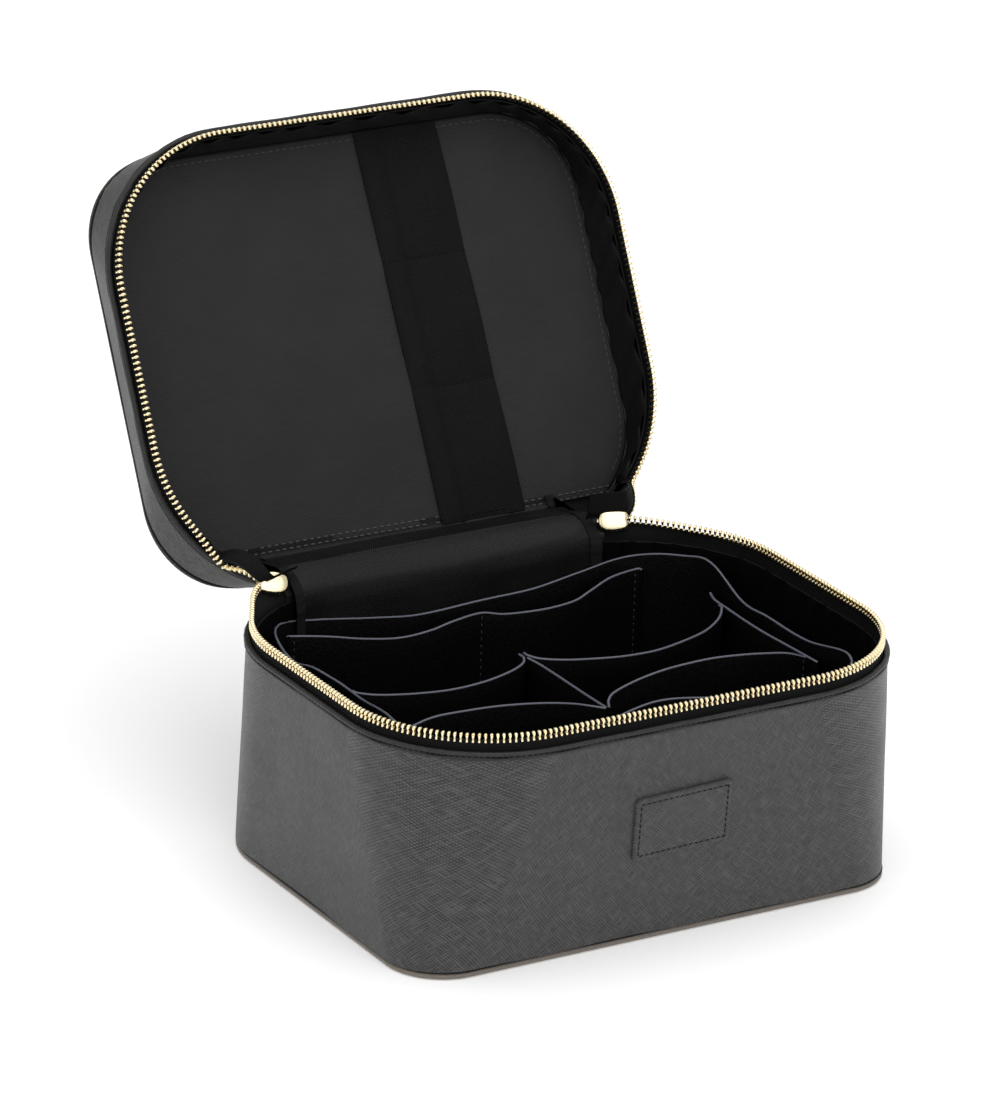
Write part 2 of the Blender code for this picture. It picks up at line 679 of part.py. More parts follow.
def build_sheet(name, start, end, bow, edge):
    """Upright sheet between two plan points, bowed sideways, its top edge at heights edge.

    bow is how far its middle stands towards the front of the case.
    """
    steps = 10
    start, end = Vector(start), Vector(end)
    along = (end - start).normalized()
    across = Vector((along.y, -along.x))
    foot = INSERT_FLOOR_Z + SHEET + CLEARANCE
    loops = [[], [], [], []]
    for i in range(steps + 1):
        t = i / steps
        middle = start.lerp(end, t) + across * bow * math.sin(math.pi * t)
        slope = bow * math.pi * math.cos(math.pi * t) / (end - start).length
        normal = (across - along * slope).normalized() * SHEET / 2
        top = wave_height(edge, t)
        for row, (side, z) in enumerate(((1, foot), (1, top), (-1, top), (-1, foot))):
            place = middle + normal * side
            loops[row].append(Vector((place.x, place.y, z)))
    strip(name, loops, "sheet")


def inside_half_x(y):
    """Half width between the insert's side walls at plan position y, less a sewing gap."""
    straight = INSERT["half_x"] - SHEET
    for radius, past in ((INSERT["r_back"], y - (INSERT["back"] - INSERT["r_back"])),
                         (INSERT["r_front"], INSERT["front"] + INSERT["r_front"] - y)):
        if past > 0:
            inner = radius - SHEET
            return INSERT["half_x"] - radius + math.sqrt(inner ** 2 - past ** 2) - SEWING_GAP
    return straight - SEWING_GAP


def build_insert():
    floor = [at_height(insert_outline(0.0), z) for z in (INSERT_FLOOR_Z, INSERT_FLOOR_Z + SHEET)]
    stack("insert_base", floor, "sheet")
    build_insert_wall()
    half_gap = SHEET / 2 + CLEARANCE
    level = SEAM_Z

    def left(y):
        return INSERT_X - inside_half_x(y) + pinch(y)

    def right(y):
        return INSERT_X + inside_half_x(y)

    pocket_left, pocket_right = POCKET_ENDS_Y
    build_sheet("insert_back_pocket", (left(pocket_left) + POCKET_GAP, pocket_left),
                (right(pocket_right) - POCKET_GAP, pocket_right), 0.0050,
                ((0.0, level + 0.0040), (0.28, level - 0.0030), (0.53, level), (0.7, level - 0.0030),
                 (1.0, level + 0.0030)))
    build_sheet("insert_divider_back_left", (left(PINCH["y"]), PINCH["y"]),
                (BACK_SEAM[0] - half_gap, BACK_SEAM[1]),
                0.0080, ((0.0, level), (0.5, level - 0.0035), (1.0, level)))
    build_sheet("insert_divider_back_right", (BACK_SEAM[0] + half_gap, BACK_SEAM[1]),
                (SIDE_POCKET_X - half_gap - CROSS_GAP, 0.0265), 0.0145,
                ((0.0, level), (0.5, level - 0.0038), (1.0, level)))
    build_sheet("insert_cross_divider", (BACK_SEAM[0], BACK_SEAM[1] - half_gap - CROSS_GAP),
                (FRONT_SEAM[0], FRONT_SEAM[1] + half_gap + CROSS_GAP), 0.0,
                ((0.0, level), (0.5, level - 0.0010), (1.0, level)))
    build_sheet("insert_divider_front_left", (left(LEFT_SEAM_Y), LEFT_SEAM_Y),
                (FRONT_SEAM[0] - half_gap, FRONT_SEAM[1]), -0.0020,
                ((0.0, level), (0.4, level + 0.0075), (1.0, level)))
    build_sheet("insert_divider_front_right", (FRONT_SEAM[0] + half_gap, FRONT_SEAM[1]),
                (SIDE_POCKET_X - half_gap, -0.0385), -0.0060,
                ((0.0, level), (0.5, level + 0.0075), (1.0, level)))
    build_sheet("insert_side_pocket", (SIDE_POCKET_X, 0.0420), (SIDE_POCKET_X, -0.0440), 0.0,
                ((0.0, level), (0.5, level - 0.0010), (1.0, level)))


# ---- Assembly ----------------------------------------------------------------------------

def main():
    for existing in list(bpy.data.objects):
        bpy.data.objects.remove(existing, do_unlink=True)
    build_body()
    build_patch()
    build_slider("slider_left", -1, SLIDER_PLACES[0])
    build_slider("slider_right", 1, SLIDER_PLACES[1])
    lid = lid_frame_object()
    build_lid(lid)
    build_handle(lid)
    build_insert()


main()
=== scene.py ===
"""Makeup train case: the visible surfaces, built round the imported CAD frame.

Metres, in the CAD's frame: +Z up, -Y the case's front, the origin in the middle of its base.
Pieces of the lid are built with the lid shut and turned open by LID_OPENING.
"""
import math

import bmesh
import bpy
from mathutils import Matrix, Vector, noise


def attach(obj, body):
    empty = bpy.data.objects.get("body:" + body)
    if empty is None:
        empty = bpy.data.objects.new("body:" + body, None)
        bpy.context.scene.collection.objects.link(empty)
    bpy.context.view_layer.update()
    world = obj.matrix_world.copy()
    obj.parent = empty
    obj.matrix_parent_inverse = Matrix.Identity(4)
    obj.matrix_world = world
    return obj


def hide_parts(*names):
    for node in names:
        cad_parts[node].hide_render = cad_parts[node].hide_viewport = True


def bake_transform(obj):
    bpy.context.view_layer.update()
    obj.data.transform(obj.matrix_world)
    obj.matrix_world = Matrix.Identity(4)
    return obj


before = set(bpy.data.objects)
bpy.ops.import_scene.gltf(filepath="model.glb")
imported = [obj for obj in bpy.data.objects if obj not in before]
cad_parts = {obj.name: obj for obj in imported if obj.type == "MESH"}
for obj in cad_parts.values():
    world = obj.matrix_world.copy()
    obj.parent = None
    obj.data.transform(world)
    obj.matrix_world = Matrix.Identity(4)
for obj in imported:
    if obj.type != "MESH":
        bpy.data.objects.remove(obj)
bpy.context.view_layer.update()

# ---- The case's dimensions, as in the CAD source ------------------------------------------

BASE = {"half_x": 0.1166, "front": -0.0919, "back": 0.0919, "r_front": 0.025, "r_back": 0.042}
RIM = {"half_x": 0.1230, "front": -0.1040, "back": 0.0928, "r_front": 0.062, "r_back": 0.068}
TOP = {"half_x": 0.1182, "front": -0.0990, "back": 0.0865, "r_front": 0.036, "r_back": 0.037}
INSERT = {"half_x": 0.1025, "front": -0.0830, "back": 0.0825, "r_front": 0.034, "r_back": 0.036}
INSERT_X = 0.0050
INSERT_FLOOR = 0.0068
ZIP_Z = 0.1045
BODY_TOP = 0.0978
LID_EDGE = 0.1112
BODY_HEM, LID_HEM = 0.0988, 0.1102       # the folded hems' own edges
LID_TOP_Z = 0.1335
LEATHER = 0.0016
HINGE = Vector((0.0, 0.0924, 0.0997))
UP, DOWN = Vector((0, 0, 1)), Vector((0, 0, -1))
LID_OPENING = math.radians(116.8)
SLIDER_AT = (0.0845, 0.0785)
HINGE_ENDS = (0.0770, 0.0710)
TEETH_INSET = 0.0022
TAPE_INSET = 0.0019
LINING_INSET = 0.0032
LINING_THICK = 0.0006
EDGE_CORD = 0.00055           # the linings' rolled edges
PANEL_Z = 0.1252            # the lid's lining panel, lid shut
PATCH = {"x": 0.0008, "z": 0.0535, "width": 0.0455, "height": 0.0285, "thick": 0.0016}

OPEN_LID = (Matrix.Translation(HINGE) @ Matrix.Rotation(-LID_OPENING, 4, "X")
            @ Matrix.Translation(-HINGE))


# ---- Materials ----------------------------------------------------------------------------

class Nodes:
    """A node tree, with short calls for the nodes that it is made of."""

    def __init__(self, tree):
        self.tree = tree

    def add(self, kind, inputs=(), **settings):
        node = self.tree.nodes.new(kind)
        for key, value in settings.items():
            setattr(node, key, value)
        for key, value in dict(inputs).items():
            self.put(node.inputs[key], value)
        return node

    def put(self, socket, value):
        if isinstance(value, bpy.types.NodeSocket):
            self.tree.links.new(value, socket)
        else:
            socket.default_value = value

    def uv(self):
        return self.add("ShaderNodeTexCoord").outputs["UV"]

    def mapped(self, vector, scale, turn=0.0):
        node = self.add("ShaderNodeMapping", {"Vector": vector, "Scale": scale,
                                              "Rotation": (0.0, 0.0, math.radians(turn))})
        return node.outputs["Vector"]

    def streaks(self, vector, turn, across, along, detail=1.0):
        """Noise drawn out into fine lines: across and along are its sizes in metres."""
        turned = self.mapped(vector, (1.0, 1.0, 1.0), turn)
        stretched = self.mapped(turned, (1.0 / across, 1.0 / along, 1.0))
        return self.add("ShaderNodeTexNoise", {"Vector": stretched, "Scale": 1.0,
                                               "Detail": detail}).outputs["Fac"]

    def lines(self, vector, turn, pitch, wobble=0.0):
        turned = self.mapped(vector, (1.0 / pitch,) * 3, turn)
        return self.add("ShaderNodeTexWave", {"Vector": turned, "Scale": 0.3142,
                                              "Distortion": wobble, "Detail": 1.0,
                                              "Detail Scale": 0.3}).outputs["Fac"]

    def clouds(self, vector, size, detail=2.0):
        return self.add("ShaderNodeTexNoise", {"Vector": vector, "Scale": 1.0 / size,
                                               "Detail": detail}).outputs["Fac"]

    def math(self, operation, a, b=0.0, clamp=False):
        node = self.add("ShaderNodeMath", operation=operation, use_clamp=clamp)
        self.put(node.inputs[0], a)
        self.put(node.inputs[1], b)
        return node.outputs[0]

    def ramp(self, factor, low, high, out_low=0.0, out_high=1.0):
        return self.add("ShaderNodeMapRange", {"Value": factor, "From Min": low, "From Max": high,
                                               "To Min": out_low, "To Max": out_high}
                        ).outputs["Result"]

    def mix(self, factor, a, b):
        node = self.add("ShaderNodeMix", data_type="RGBA")
        self.put(node.inputs["Factor"], factor)
        self.put(node.inputs[6], a)
        self.put(node.inputs[7], b)
        return node.outputs[2]


class Surface(Nodes):
    """A material, as a Principled shader with nodes in front of it."""

    def __init__(self, name, **values):
        self.material = bpy.data.materials.new(name)
        self.material.use_nodes = True
        super().__init__(self.material.node_tree)
        self.shader = self.tree.nodes["Principled BSDF"]
        for key, value in values.items():
            self.set(key.replace("_", " "), value)

    def set(self, key, value):
        self.put(self.shader.inputs[key], value)

    def bump(self, height, depth, strength=1.0):
        """Bump whose height runs from 0 to 1 over depth metres."""
        node = self.add("ShaderNodeBump", {"Height": height, "Strength": strength,
                                           "Distance": depth})
        self.put(self.shader.inputs["Normal"], node.outputs["Normal"])


def grey(value, warm=0.0):
    return (value * (1 + warm), value, value * (1 - warm), 1.0)


GRAIN_PITCH = 0.00100


def saffiano(name, low, high, roughness=0.42, warm=0.0):
    """Coated leather with a fine cross-hatched grain, its lines at about 47 degrees."""
    made = Surface(name, Specular_IOR_Level=0.36)
    uv = made.uv()
    fine = made.math("MULTIPLY", made.lines(uv, 47, GRAIN_PITCH, 0.12),
                     made.lines(uv, -47, GRAIN_PITCH, 0.12))
    one = made.ramp(made.streaks(uv, 47, 0.00060, 0.0075), 0.46, 0.72)
    other = made.ramp(made.streaks(uv, -47, 0.00060, 0.0075), 0.46, 0.72)
    height = made.math("ADD", made.math("MULTIPLY", fine, 0.70),
                       made.math("MULTIPLY", made.math("MAXIMUM", one, other), 0.50), clamp=True)
    worn = made.clouds(uv, 0.035, 3.0)
    made.set("Base Color", made.mix(height, grey(low, warm), grey(high, warm)))
    made.set("Roughness", made.ramp(worn, 0.3, 0.7, roughness - 0.05, roughness + 0.05))
    made.bump(height, 0.00022, 0.7)
    return made.material


def pebble(name, low, high, roughness=0.55):
    """Coated sheet with a small pebbled grain."""
    made = Surface(name, Specular_IOR_Level=0.10)
    uv = made.uv()
    shift = made.clouds(uv, 0.0016, 2.0)
    place = made.add("ShaderNodeVectorMath", operation="ADD")
    made.put(place.inputs[0], uv)
    made.put(place.inputs[1], made.math("MULTIPLY", shift, 0.0007))
    cells = made.add("ShaderNodeTexVoronoi", {"Vector": place.outputs[0], "Scale": 1.0 / 0.0011},
                     feature="SMOOTH_F1")
    cells = made.ramp(cells.outputs["Distance"], 0.15, 0.75, 1.0, 0.0)
    made.set("Base Color", made.mix(cells, grey(low), grey(high)))
    made.set("Roughness", roughness)
    made.bump(cells, 0.00016, 0.9)
    return made.material


def weave(name, low, high, pitch, roughness, slub, spec, twill=None, shine=0.02):
    """Woven cloth: plain weave, or twill where an angle is given."""
    made = Surface(name, Specular_IOR_Level=spec, Sheen_Roughness=0.4)
    uv = made.uv()
    if twill is None:
        threads = made.math("MULTIPLY", made.lines(uv, 0, pitch, 0.6),
                            made.lines(uv, 90, pitch, 0.6))
    else:
        threads = made.lines(uv, twill, pitch, 0.5)
    slubs = made.streaks(uv, 90, 0.0007, 0.011, 2.0)
    patchy = made.clouds(uv, 0.03, 3.0)
    tone = made.math("ADD", made.math("MULTIPLY", threads, 1.0 - slub),
                     made.math("MULTIPLY", slubs, slub))
    tone = made.math("ADD", tone, made.ramp(patchy, 0.3, 0.7, -0.12, 0.12), clamp=True)
    made.set("Base Color", made.mix(tone, grey(low), grey(high)))
    made.set("Roughness", made.ramp(patchy, 0.3, 0.7, roughness - shine, roughness + shine))
    made.bump(tone, pitch * 0.45, 0.8)
    return made.material


def plain(name, colour, roughness, spec=0.3, metallic=0.0, grain=0.0, size=0.002):
    made = Surface(name, Specular_IOR_Level=spec, Metallic=metallic, Base_Color=colour)
    place = made.add("ShaderNodeTexCoord").outputs["Object"]
    cloud = made.clouds(place, size, 3.0)
    made.set("Roughness", made.ramp(cloud, 0.3, 0.7, roughness * 0.85, roughness * 1.15))
    if grain:
        made.bump(cloud, grain, 0.5)
    return made.material


LEATHER_OUT = saffiano("saffiano_leather", 0.014, 0.096)
LEATHER_SMOOTH = saffiano("saffiano_trim", 0.007, 0.026)
# The base panel's warm tan, far lighter than the outer leather, is a painted reflection of a warm
# floor.
BASE_LEATHER_REFLECTION = saffiano("base_leather_painted_reflection", 0.12, 0.19, 0.45, warm=0.16)
PAINTED_EDGE = plain("painted_edge", (0.105, 0.110, 0.138, 1.0), 0.40, 0.4, grain=0.0001,
                     size=0.0012)
# The insert's sheet is black, and its colour is made darker still as painted shade inside the case.
SHEET_PU_SHADED = pebble("pebbled_sheet", 0.0003, 0.0030)
PANEL_CLOTH = weave("panel_cloth", 0.025, 0.044, 0.00075, 0.85, 0.40, 0.06)
# The case's lining and the lid's are one cloth: the case's copy is made near black as painted shade
# inside the case, and the lid's copy is lighter where more light falls.
LINING_CLOTH = weave("lining_cloth", 0.0004, 0.0030, 0.00065, 0.80, 0.3, 0.04)
LID_LINING_CLOTH = weave("lid_lining_cloth", 0.004, 0.013, 0.00065, 0.70, 0.3, 0.15)
SATIN_CLOTH = weave("satin_cloth", 0.0022, 0.0090, 0.00085, 0.38, 0.15, 0.30, twill=32, shine=0.05)
ELASTIC_CLOTH = weave("elastic_cloth", 0.008, 0.016, 0.00085, 0.85, 0.2, 0.05)
TAPE_CLOTH = weave("tape_cloth", 0.003, 0.012, 0.00085, 0.75, 0.1, 0.10, twill=60)
THREAD = plain("thread", grey(0.004), 0.6, 0.15, grain=0.00005, size=0.0006)
GREY_THREAD = plain("grey_thread", grey(0.070), 0.6, 0.2, grain=0.00005, size=0.0006)
PANEL_THREAD = plain("panel_thread", grey(0.05), 0.6, 0.3, grain=0.00005, size=0.0006)
EDGE_THREAD = plain("divider_thread", grey(0.012), 0.5, 0.4, grain=0.00005, size=0.0006)
GREY_BOARD = plain("grey_board", (0.2, 0.17, 0.13, 1.0), 0.9, 0.2, grain=0.0002, size=0.001)
GOLD = plain("polished_gold", (1.0, 0.86, 0.56, 1.0), 0.16, 0.5, 1.0, grain=0.00002, size=0.0015)


# ---- Shapes -------------------------------------------------------------------------------

def mix(low, high, t):
    return {key: low[key] + (high[key] - low[key]) * t for key in low}


def body_shape(z):
    return mix(BASE, RIM, z / BODY_TOP)


def lid_shape(z):
    return mix(RIM, TOP, max(0.0, z - LID_EDGE) / (LID_TOP_Z - LID_EDGE))


def smooth(t):
    t = max(0.0, min(1.0, t))
    return t * t * (3 - 2 * t)


ARC_POINTS, SIDE_POINTS = 22, 26


def plan(shape, inset=0.0, left=90.0, right=90.0, closed=True):
    """Plan outline from an angle on the left back corner, round the front, to the right one's."""
    bx, by = shape["half_x"] - shape["r_back"], shape["back"] - shape["r_back"]
    fx, fy = shape["half_x"] - shape["r_front"], shape["front"] + shape["r_front"]
    rb, rf = shape["r_back"] - inset, shape["r_front"] - inset
    turns = ((-bx, by, rb, left, 180), (-fx, fy, rf, 180, 270), (fx, fy, rf, 270, 360),
             (bx, by, rb, 0, right))
    arcs = []
    for x, y, r, start, end in turns:
        angles = [math.radians(start + (end - start) * i / ARC_POINTS)
                  for i in range(ARC_POINTS + 1)]
        arcs.append([Vector((x + r * math.cos(a), y + r * math.sin(a))) for a in angles])
    points = []
    for k, part in enumerate(arcs):
        points += part
        if k < 3 or closed:
            ahead = arcs[(k + 1) % 4][0]
            points += [part[-1].lerp(ahead, (i + 1) / (SIDE_POINTS + 1))
                       for i in range(SIDE_POINTS)]
    return points


def angle_at(shape, end_x, inset=0.0):
    """Angle on the back corner's arc where it passes x = end_x."""
    centre = shape["half_x"] - shape["r_back"]
    return math.degrees(math.acos(max(-1, min(1, (end_x - centre) / (shape["r_back"] - inset)))))


def arc_ends(shape, left_x, right_x, inset=0.0):
    """Angles on the two back corners' arcs, as plan takes them, at left_x and right_x."""
    return 180 - angle_at(shape, left_x, inset), angle_at(shape, right_x, inset)


def back_plan(shape, inset, ends, count=60):
    """The back of the outline, from x = -ends[0] to x = ends[1]."""
    bx, by = shape["half_x"] - shape["r_back"], shape["back"] - shape["r_back"]
    r = shape["r_back"] - inset
    points = []
    for i in range(count + 1):
        x = -ends[0] + (ends[0] + ends[1]) * i / count
        past = max(0.0, abs(x) - bx)
        points.append(Vector((x, by + math.sqrt(r * r - past * past))))
    return points


def outward(points, closed):
    """Unit normals of a plan line, out of the case, and each point's distance along it."""
    count = len(points)
    normals, along, total = [], [], 0.0
    for i, p in enumerate(points):
        ahead = points[(i + 1) % count] if closed or i < count - 1 else p
        behind = points[i - 1] if closed or i > 0 else p
        d = (ahead - behind).normalized()
        normals.append(Vector((-d.y, d.x)) * -1.0 if d.length else Vector((0, 0)))
        along.append(total)
        total += (ahead - p).length if i < count - 1 else 0.0
    return normals, along


def raised(points, z):
    return [Vector((p.x, p.y, z)) for p in points]


def loft(data, rings, ends=(0, -1)):
    """Faces between rings of vertices, and over the end rings."""
    for low, high in zip(rings, rings[1:]):
        for k in range(len(low)):
            data.faces.new((low[k - 1], low[k], high[k], high[k - 1]))
    for end in ends:
        data.faces.new(rings[end])


def plate_uv(data):
    """UVs in metres, across the plate and along it."""
    layer = data.loops.layers.uv.new("UVMap")
    for face in data.faces:
        for corner in face.loops:
            x, y, z = corner.vert.co
            corner[layer].uv = (x, y + z)


def finish_mesh(name, data, material):
    bmesh.ops.recalc_face_normals(data, faces=data.faces)
    mesh = bpy.data.meshes.new(name)
    data.to_mesh(mesh)
    data.free()
    mesh.shade_smooth()
    mesh.set_sharp_from_angle(angle=math.radians(48))
    for each in material if isinstance(material, (list, tuple)) else (material,):
        mesh.materials.append(each)
    made = bpy.data.objects.new(name, mesh)
    bpy.context.scene.collection.objects.link(made)
    return made


def grid(name, rows, material, wrap=False, loop=False, pick=None):
    """Mesh over rows of points. wrap joins a row's ends, and loop joins the last row to the first.

    Its UVs are distances along and across it, in metres. Open ends are capped.
    pick(row) gives a face row's material index.
    """
    data = bmesh.new()
    layer = data.loops.layers.uv.new("UVMap")
    verts = [[data.verts.new(p) for p in row] for row in rows]
    width, height = len(rows[0]), len(rows)
    longest = max(rows, key=lambda r: sum((a - b).length for a, b in zip(r, r[1:])))
    u = [0.0]
    for a, b in zip(longest, longest[1:] + longest[:1]):
        u.append(u[-1] + (a - b).length)
    middle = width // 3
    v = [0.0]
    for a, b in zip(rows, rows[1:] + rows[:1]):
        v.append(v[-1] + (a[middle] - b[middle]).length)
    for i in range(height if loop else height - 1):
        for j in range(width if wrap else width - 1):
            a, b = (i + 1) % height, (j + 1) % width
            face = data.faces.new((verts[i][j], verts[i][b], verts[a][b], verts[a][j]))
            ends = ((j, i), (j + 1, i), (j + 1, i + 1), (j, i + 1))
            for corner, (along, across) in zip(face.loops, ends):
                corner[layer].uv = (u[along], v[across])
            face.material_index = pick(i) if pick else 0
    if wrap and not loop:
        data.faces.new(verts[0])
        data.faces.new(verts[-1])
    if loop and not wrap:
        data.faces.new([row[0] for row in verts])
        data.faces.new([row[-1] for row in verts][::-1])
    return finish_mesh(name, data, material)


def ride(piece, body, replaces=()):
    """Puts a finished piece on its body. The lid's pieces are turned open with it."""
    if body == "lid":
        piece.data.transform(OPEN_LID)
    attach(piece, body)
    if replaces:
        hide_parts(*replaces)
    return piece


def band(name, shape_at, profile, material, left=90.0, right=90.0, closed=True, ripple=None):
    """Band round the case. profile is a closed loop of (inset, z); ripple moves its points."""
    rows = []
    for step, (inset, z) in enumerate(profile):
        points = plan(shape_at(z), inset, left, right, closed)
        row = raised(points, z)
        if ripple:
            normals, along = outward(points, closed)
            for k, point in enumerate(row):
                out, up = ripple(along[k], z, step)
                point += Vector((normals[k].x * out, normals[k].y * out, up))
        rows.append(row)
    return grid(name, rows, material, wrap=closed, loop=True)


def rounded_edge(inset_out, inset_in, z, up, steps=4):
    """Half-round edge of a sheet, from its outer side to its inner one."""
    radius = (inset_in - inset_out) / 2
    middle = (inset_in + inset_out) / 2
    return [(middle - radius * math.cos(math.pi * i / steps),
             z - up * radius + up * radius * math.sin(math.pi * i / steps))
            for i in range(steps + 1)]


def levels(inset, low, high, count):
    return [(inset, low + (high - low) * i / count) for i in range(count + 1)]


def tube(name, path, radius, material, sides=8):
    """Round cord along a path of points."""
    rows, side = [], None
    for i, p in enumerate(path):
        along = (path[min(i + 1, len(path) - 1)] - path[max(i - 1, 0)]).normalized()
        if side is None:
            side = along.orthogonal().normalized()
        side = (side - along * side.dot(along)).normalized()
        up = along.cross(side)
        rows.append([p + (side * math.cos(a) + up * math.sin(a)) * radius
                     for a in (2 * math.pi * k / sides for k in range(sides))])
    return grid(name, rows, material, wrap=True)


def along_path(path, pitch, start=0.0, closed=False):
    """Points and directions at equal distances along a path."""
    line = path + path[:1] if closed else path
    found, travelled, wanted = [], 0.0, start
    for a, b in zip(line, line[1:]):
        step = (b - a).length
        while step > 0 and wanted <= travelled + step:
            found.append((a.lerp(b, (wanted - travelled) / step), (b - a) / step))
            wanted += pitch
        travelled += step
    return found


def stitches(name, path, normals, material=THREAD, pitch=0.0029, length=0.0021, thick=0.00042,
             closed=False):
    """A row of short stitches, each a rounded thread that dips into the surface at its ends."""
    data = bmesh.new()
    for point, d in along_path(path, pitch, pitch / 2, closed):
        up = normals(point) if callable(normals) else normals
        up = (up - d * up.dot(d)).normalized()
        side = d.cross(up)
        rings = []
        for i in range(6):
            t = i / 5 - 0.5
            swell = math.sqrt(max(0.02, 1 - (2 * t) ** 4))
            centre = point + d * (t * length) + up * (thick * (0.55 * swell - 0.25))
            rings.append([data.verts.new(centre + (side * math.cos(a) + up * 0.7 * math.sin(a))
                                         * thick * 0.62 * swell)
                          for a in (2 * math.pi * s / 6 for s in range(6))])
        loft(data, rings)
    return finish_mesh(name, data, material)


def turned(point, share):
    """A point of the shut lid, turned a share of the way open about the hinge."""
    return HINGE + Matrix.Rotation(-LID_OPENING * share, 3, "X") @ (point - HINGE)


def join(piece, replaces=()):
    """Bakes a piece's placement into its mesh and hides the CAD nodes that it replaces."""
    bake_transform(piece)
    if replaces:
        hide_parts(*replaces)
    return piece


def bend(piece, start, end, replaces=()):
    """Opens a piece that was built shut across the hinge, each point turned by its share of the way
    from start to end.
    """
    start, end = Vector(start), Vector(end)
    line = end - start

    def share_at(place):
        return smooth((place - start).dot(line) / line.length_squared)

    for vertex in piece.data.vertices:
        point = vertex.co.copy()
        low, high = 0.0, 1.0
        for _ in range(26):
            middle = (low + high) / 2
            if share_at(turned(point, middle)) > middle:
                low = middle
            else:
                high = middle
        vertex.co = turned(point, (low + high) / 2)
    return join(piece, replaces)


# ---- Leather body -------------------------------------------------------------------------

WELT_LOW, WELT_HIGH = 0.0025, 0.0039


def ease(along, z, step):
    """The slight unevenness of leather over board."""
    return 0.00035 * noise.noise(Vector((along * 22, z * 24, 1.7))), 0.0


def build_body():
    # Leather over board, from the base's seam, where it is turned in, to under the hem.
    profile = [(LEATHER, 0.0046)] + rounded_edge(LEATHER, 0.0, 0.0036, -1)[1:]
    profile += levels(0.0, 0.0055, BODY_HEM - 0.0012, 14)
    profile += rounded_edge(0.0, LEATHER, BODY_HEM - 0.0002, 1)
    profile += [(LEATHER, 0.080), (LEATHER, 0.030)]
    piece = band("body_leather", body_shape, profile, LEATHER_OUT, ripple=ease)
    ride(piece, "body", ["body_shell"])
    profile = [(0.0012, WELT_HIGH), (0.0002, WELT_HIGH - 0.0003), (-0.0001, 0.0030),
               (0.0004, WELT_LOW), (0.0030, WELT_LOW), (0.0030, WELT_HIGH)]
    ride(band("base_seam", body_shape, profile, THREAD), "body", ["base_welt"])
    edge = ((0.0012, 0.0), (0.0004, 0.0003), (0.0, 0.0009), (0.0, 0.0018), (0.0006, 0.0024))
    # Its tan colour is a painted reflection of the floor.
    filled("base_panel", [raised(plan(body_shape(z), inset), z) for inset, z in edge],
           BASE_LEATHER_REFLECTION, "body", ["bottom_panel"])
    build_hem("body", body_shape, BODY_HEM, 1)


def build_hem(body, shape_at, edge, up):
    """Folded hem along the leather's edge, from one end of the hinge round the front."""
    ends = arc_ends(RIM, HINGE_ENDS[0] + 0.002, HINGE_ENDS[1] + 0.002)
    piece = band(body + "_hem_fold", shape_at, hem_profile(edge, up), LEATHER_SMOOTH, *ends, False,
                 ripple=lambda s, z, k: (0.00010 * math.sin(s * 2590), 0.0))
    ride(piece, body, [body + "_hem"])
    z = edge - up * 0.0017
    path = raised(plan(shape_at(z), -0.0004, *ends, False), z)
    piece = stitches(body + "_hem_stitches", path, from_middle, pitch=0.00243, length=0.0017)
    ride(piece, body)


def hem_profile(edge, up):
    """Turned edge of the leather: two soft ridges either side of a stitched groove."""
    shape = ((0.0006, 0.0034), (-0.0003, 0.0033), (-0.0008, 0.0029), (-0.0008, 0.0023),
             (-0.0003, 0.0019), (-0.0003, 0.0015), (-0.0009, 0.0012), (-0.0010, 0.0005),
             (-0.0005, -0.0001), (0.0003, -0.0003), (0.0011, -0.0001), (0.0014, 0.0006),
             (0.0006, 0.0008))
    return [(inset, edge - up * below) for inset, below in shape]


def from_middle(point):
    """Direction out of the case from its upright axis."""
    x, y = point.x, point.y
    return Vector((x * 0.8, y, 0.0)).normalized()


def filled(name, rows, material, body, replaces=(), inner=10, dome=0.0, relief=None):
    """Solid plate: edge rows from the far face's rim to the near face's, both faces filled in.

    The last row's face is drawn in towards the centre in rings, and the first row's is flat.
    """
    last = rows[-1]
    middle = sum(last, Vector()) / len(last)
    middle.z = last[0].z
    grown = list(rows)
    for k in range(1, inner):
        share = 1 - k / inner
        lift = Vector((0, 0, dome * (1 - share ** 6)))
        grown.append([middle.lerp(p, share) + lift for p in last])
    tip = middle + Vector((0, 0, dome))
    if relief:
        tip.z += relief(middle)
        for row in grown[len(rows) - 1:]:
            for p in row:
                p.z += relief(p)
    data = bmesh.new()
    verts = [[data.verts.new(p) for p in row] for row in grown]
    loft(data, verts, ends=(0,))
    tip = data.verts.new(tip)
    for j in range(len(last)):
        data.faces.new((verts[-1][j - 1], verts[-1][j], tip))
    plate_uv(data)
    return ride(finish_mesh(name, data, material), body, replaces)


# ---- Zip ----------------------------------------------------------------------------------

PITCH = 0.00242
TOOTH = ((0.00000, 0.26, 0.45), (0.00016, 0.52, 0.85), (0.00055, 0.72, 1.10), (0.00120, 0.76, 1.14),
         (0.00165, 0.62, 1.00), (0.00195, 0.44, 0.86), (0.00235, 0.44, 0.86), (0.00265, 0.62, 1.05),
         (0.00365, 0.66, 1.10), (0.00395, 0.56, 0.90), (0.00402, 0.36, 0.60))
# Each level is its depth below the tip in metres, then its half width and half depth in mm.

BODY_TIP, LID_TIP = ZIP_Z + 0.0018, ZIP_Z - 0.0013
# Near its sliders the zip is drawn out of the case's outline: x where that starts and where it
# is full, by how much, and how much it lifts; then where the lid's row leaves the lid.
PULLED = {-1: (0.1120, 0.0880, 0.0062, 0.0012), 1: (0.1080, 0.0840, 0.0020, 0.0010)}
LEAVES = {-1: (0.0880, 0.1010), 1: (0.0830, 0.1010)}


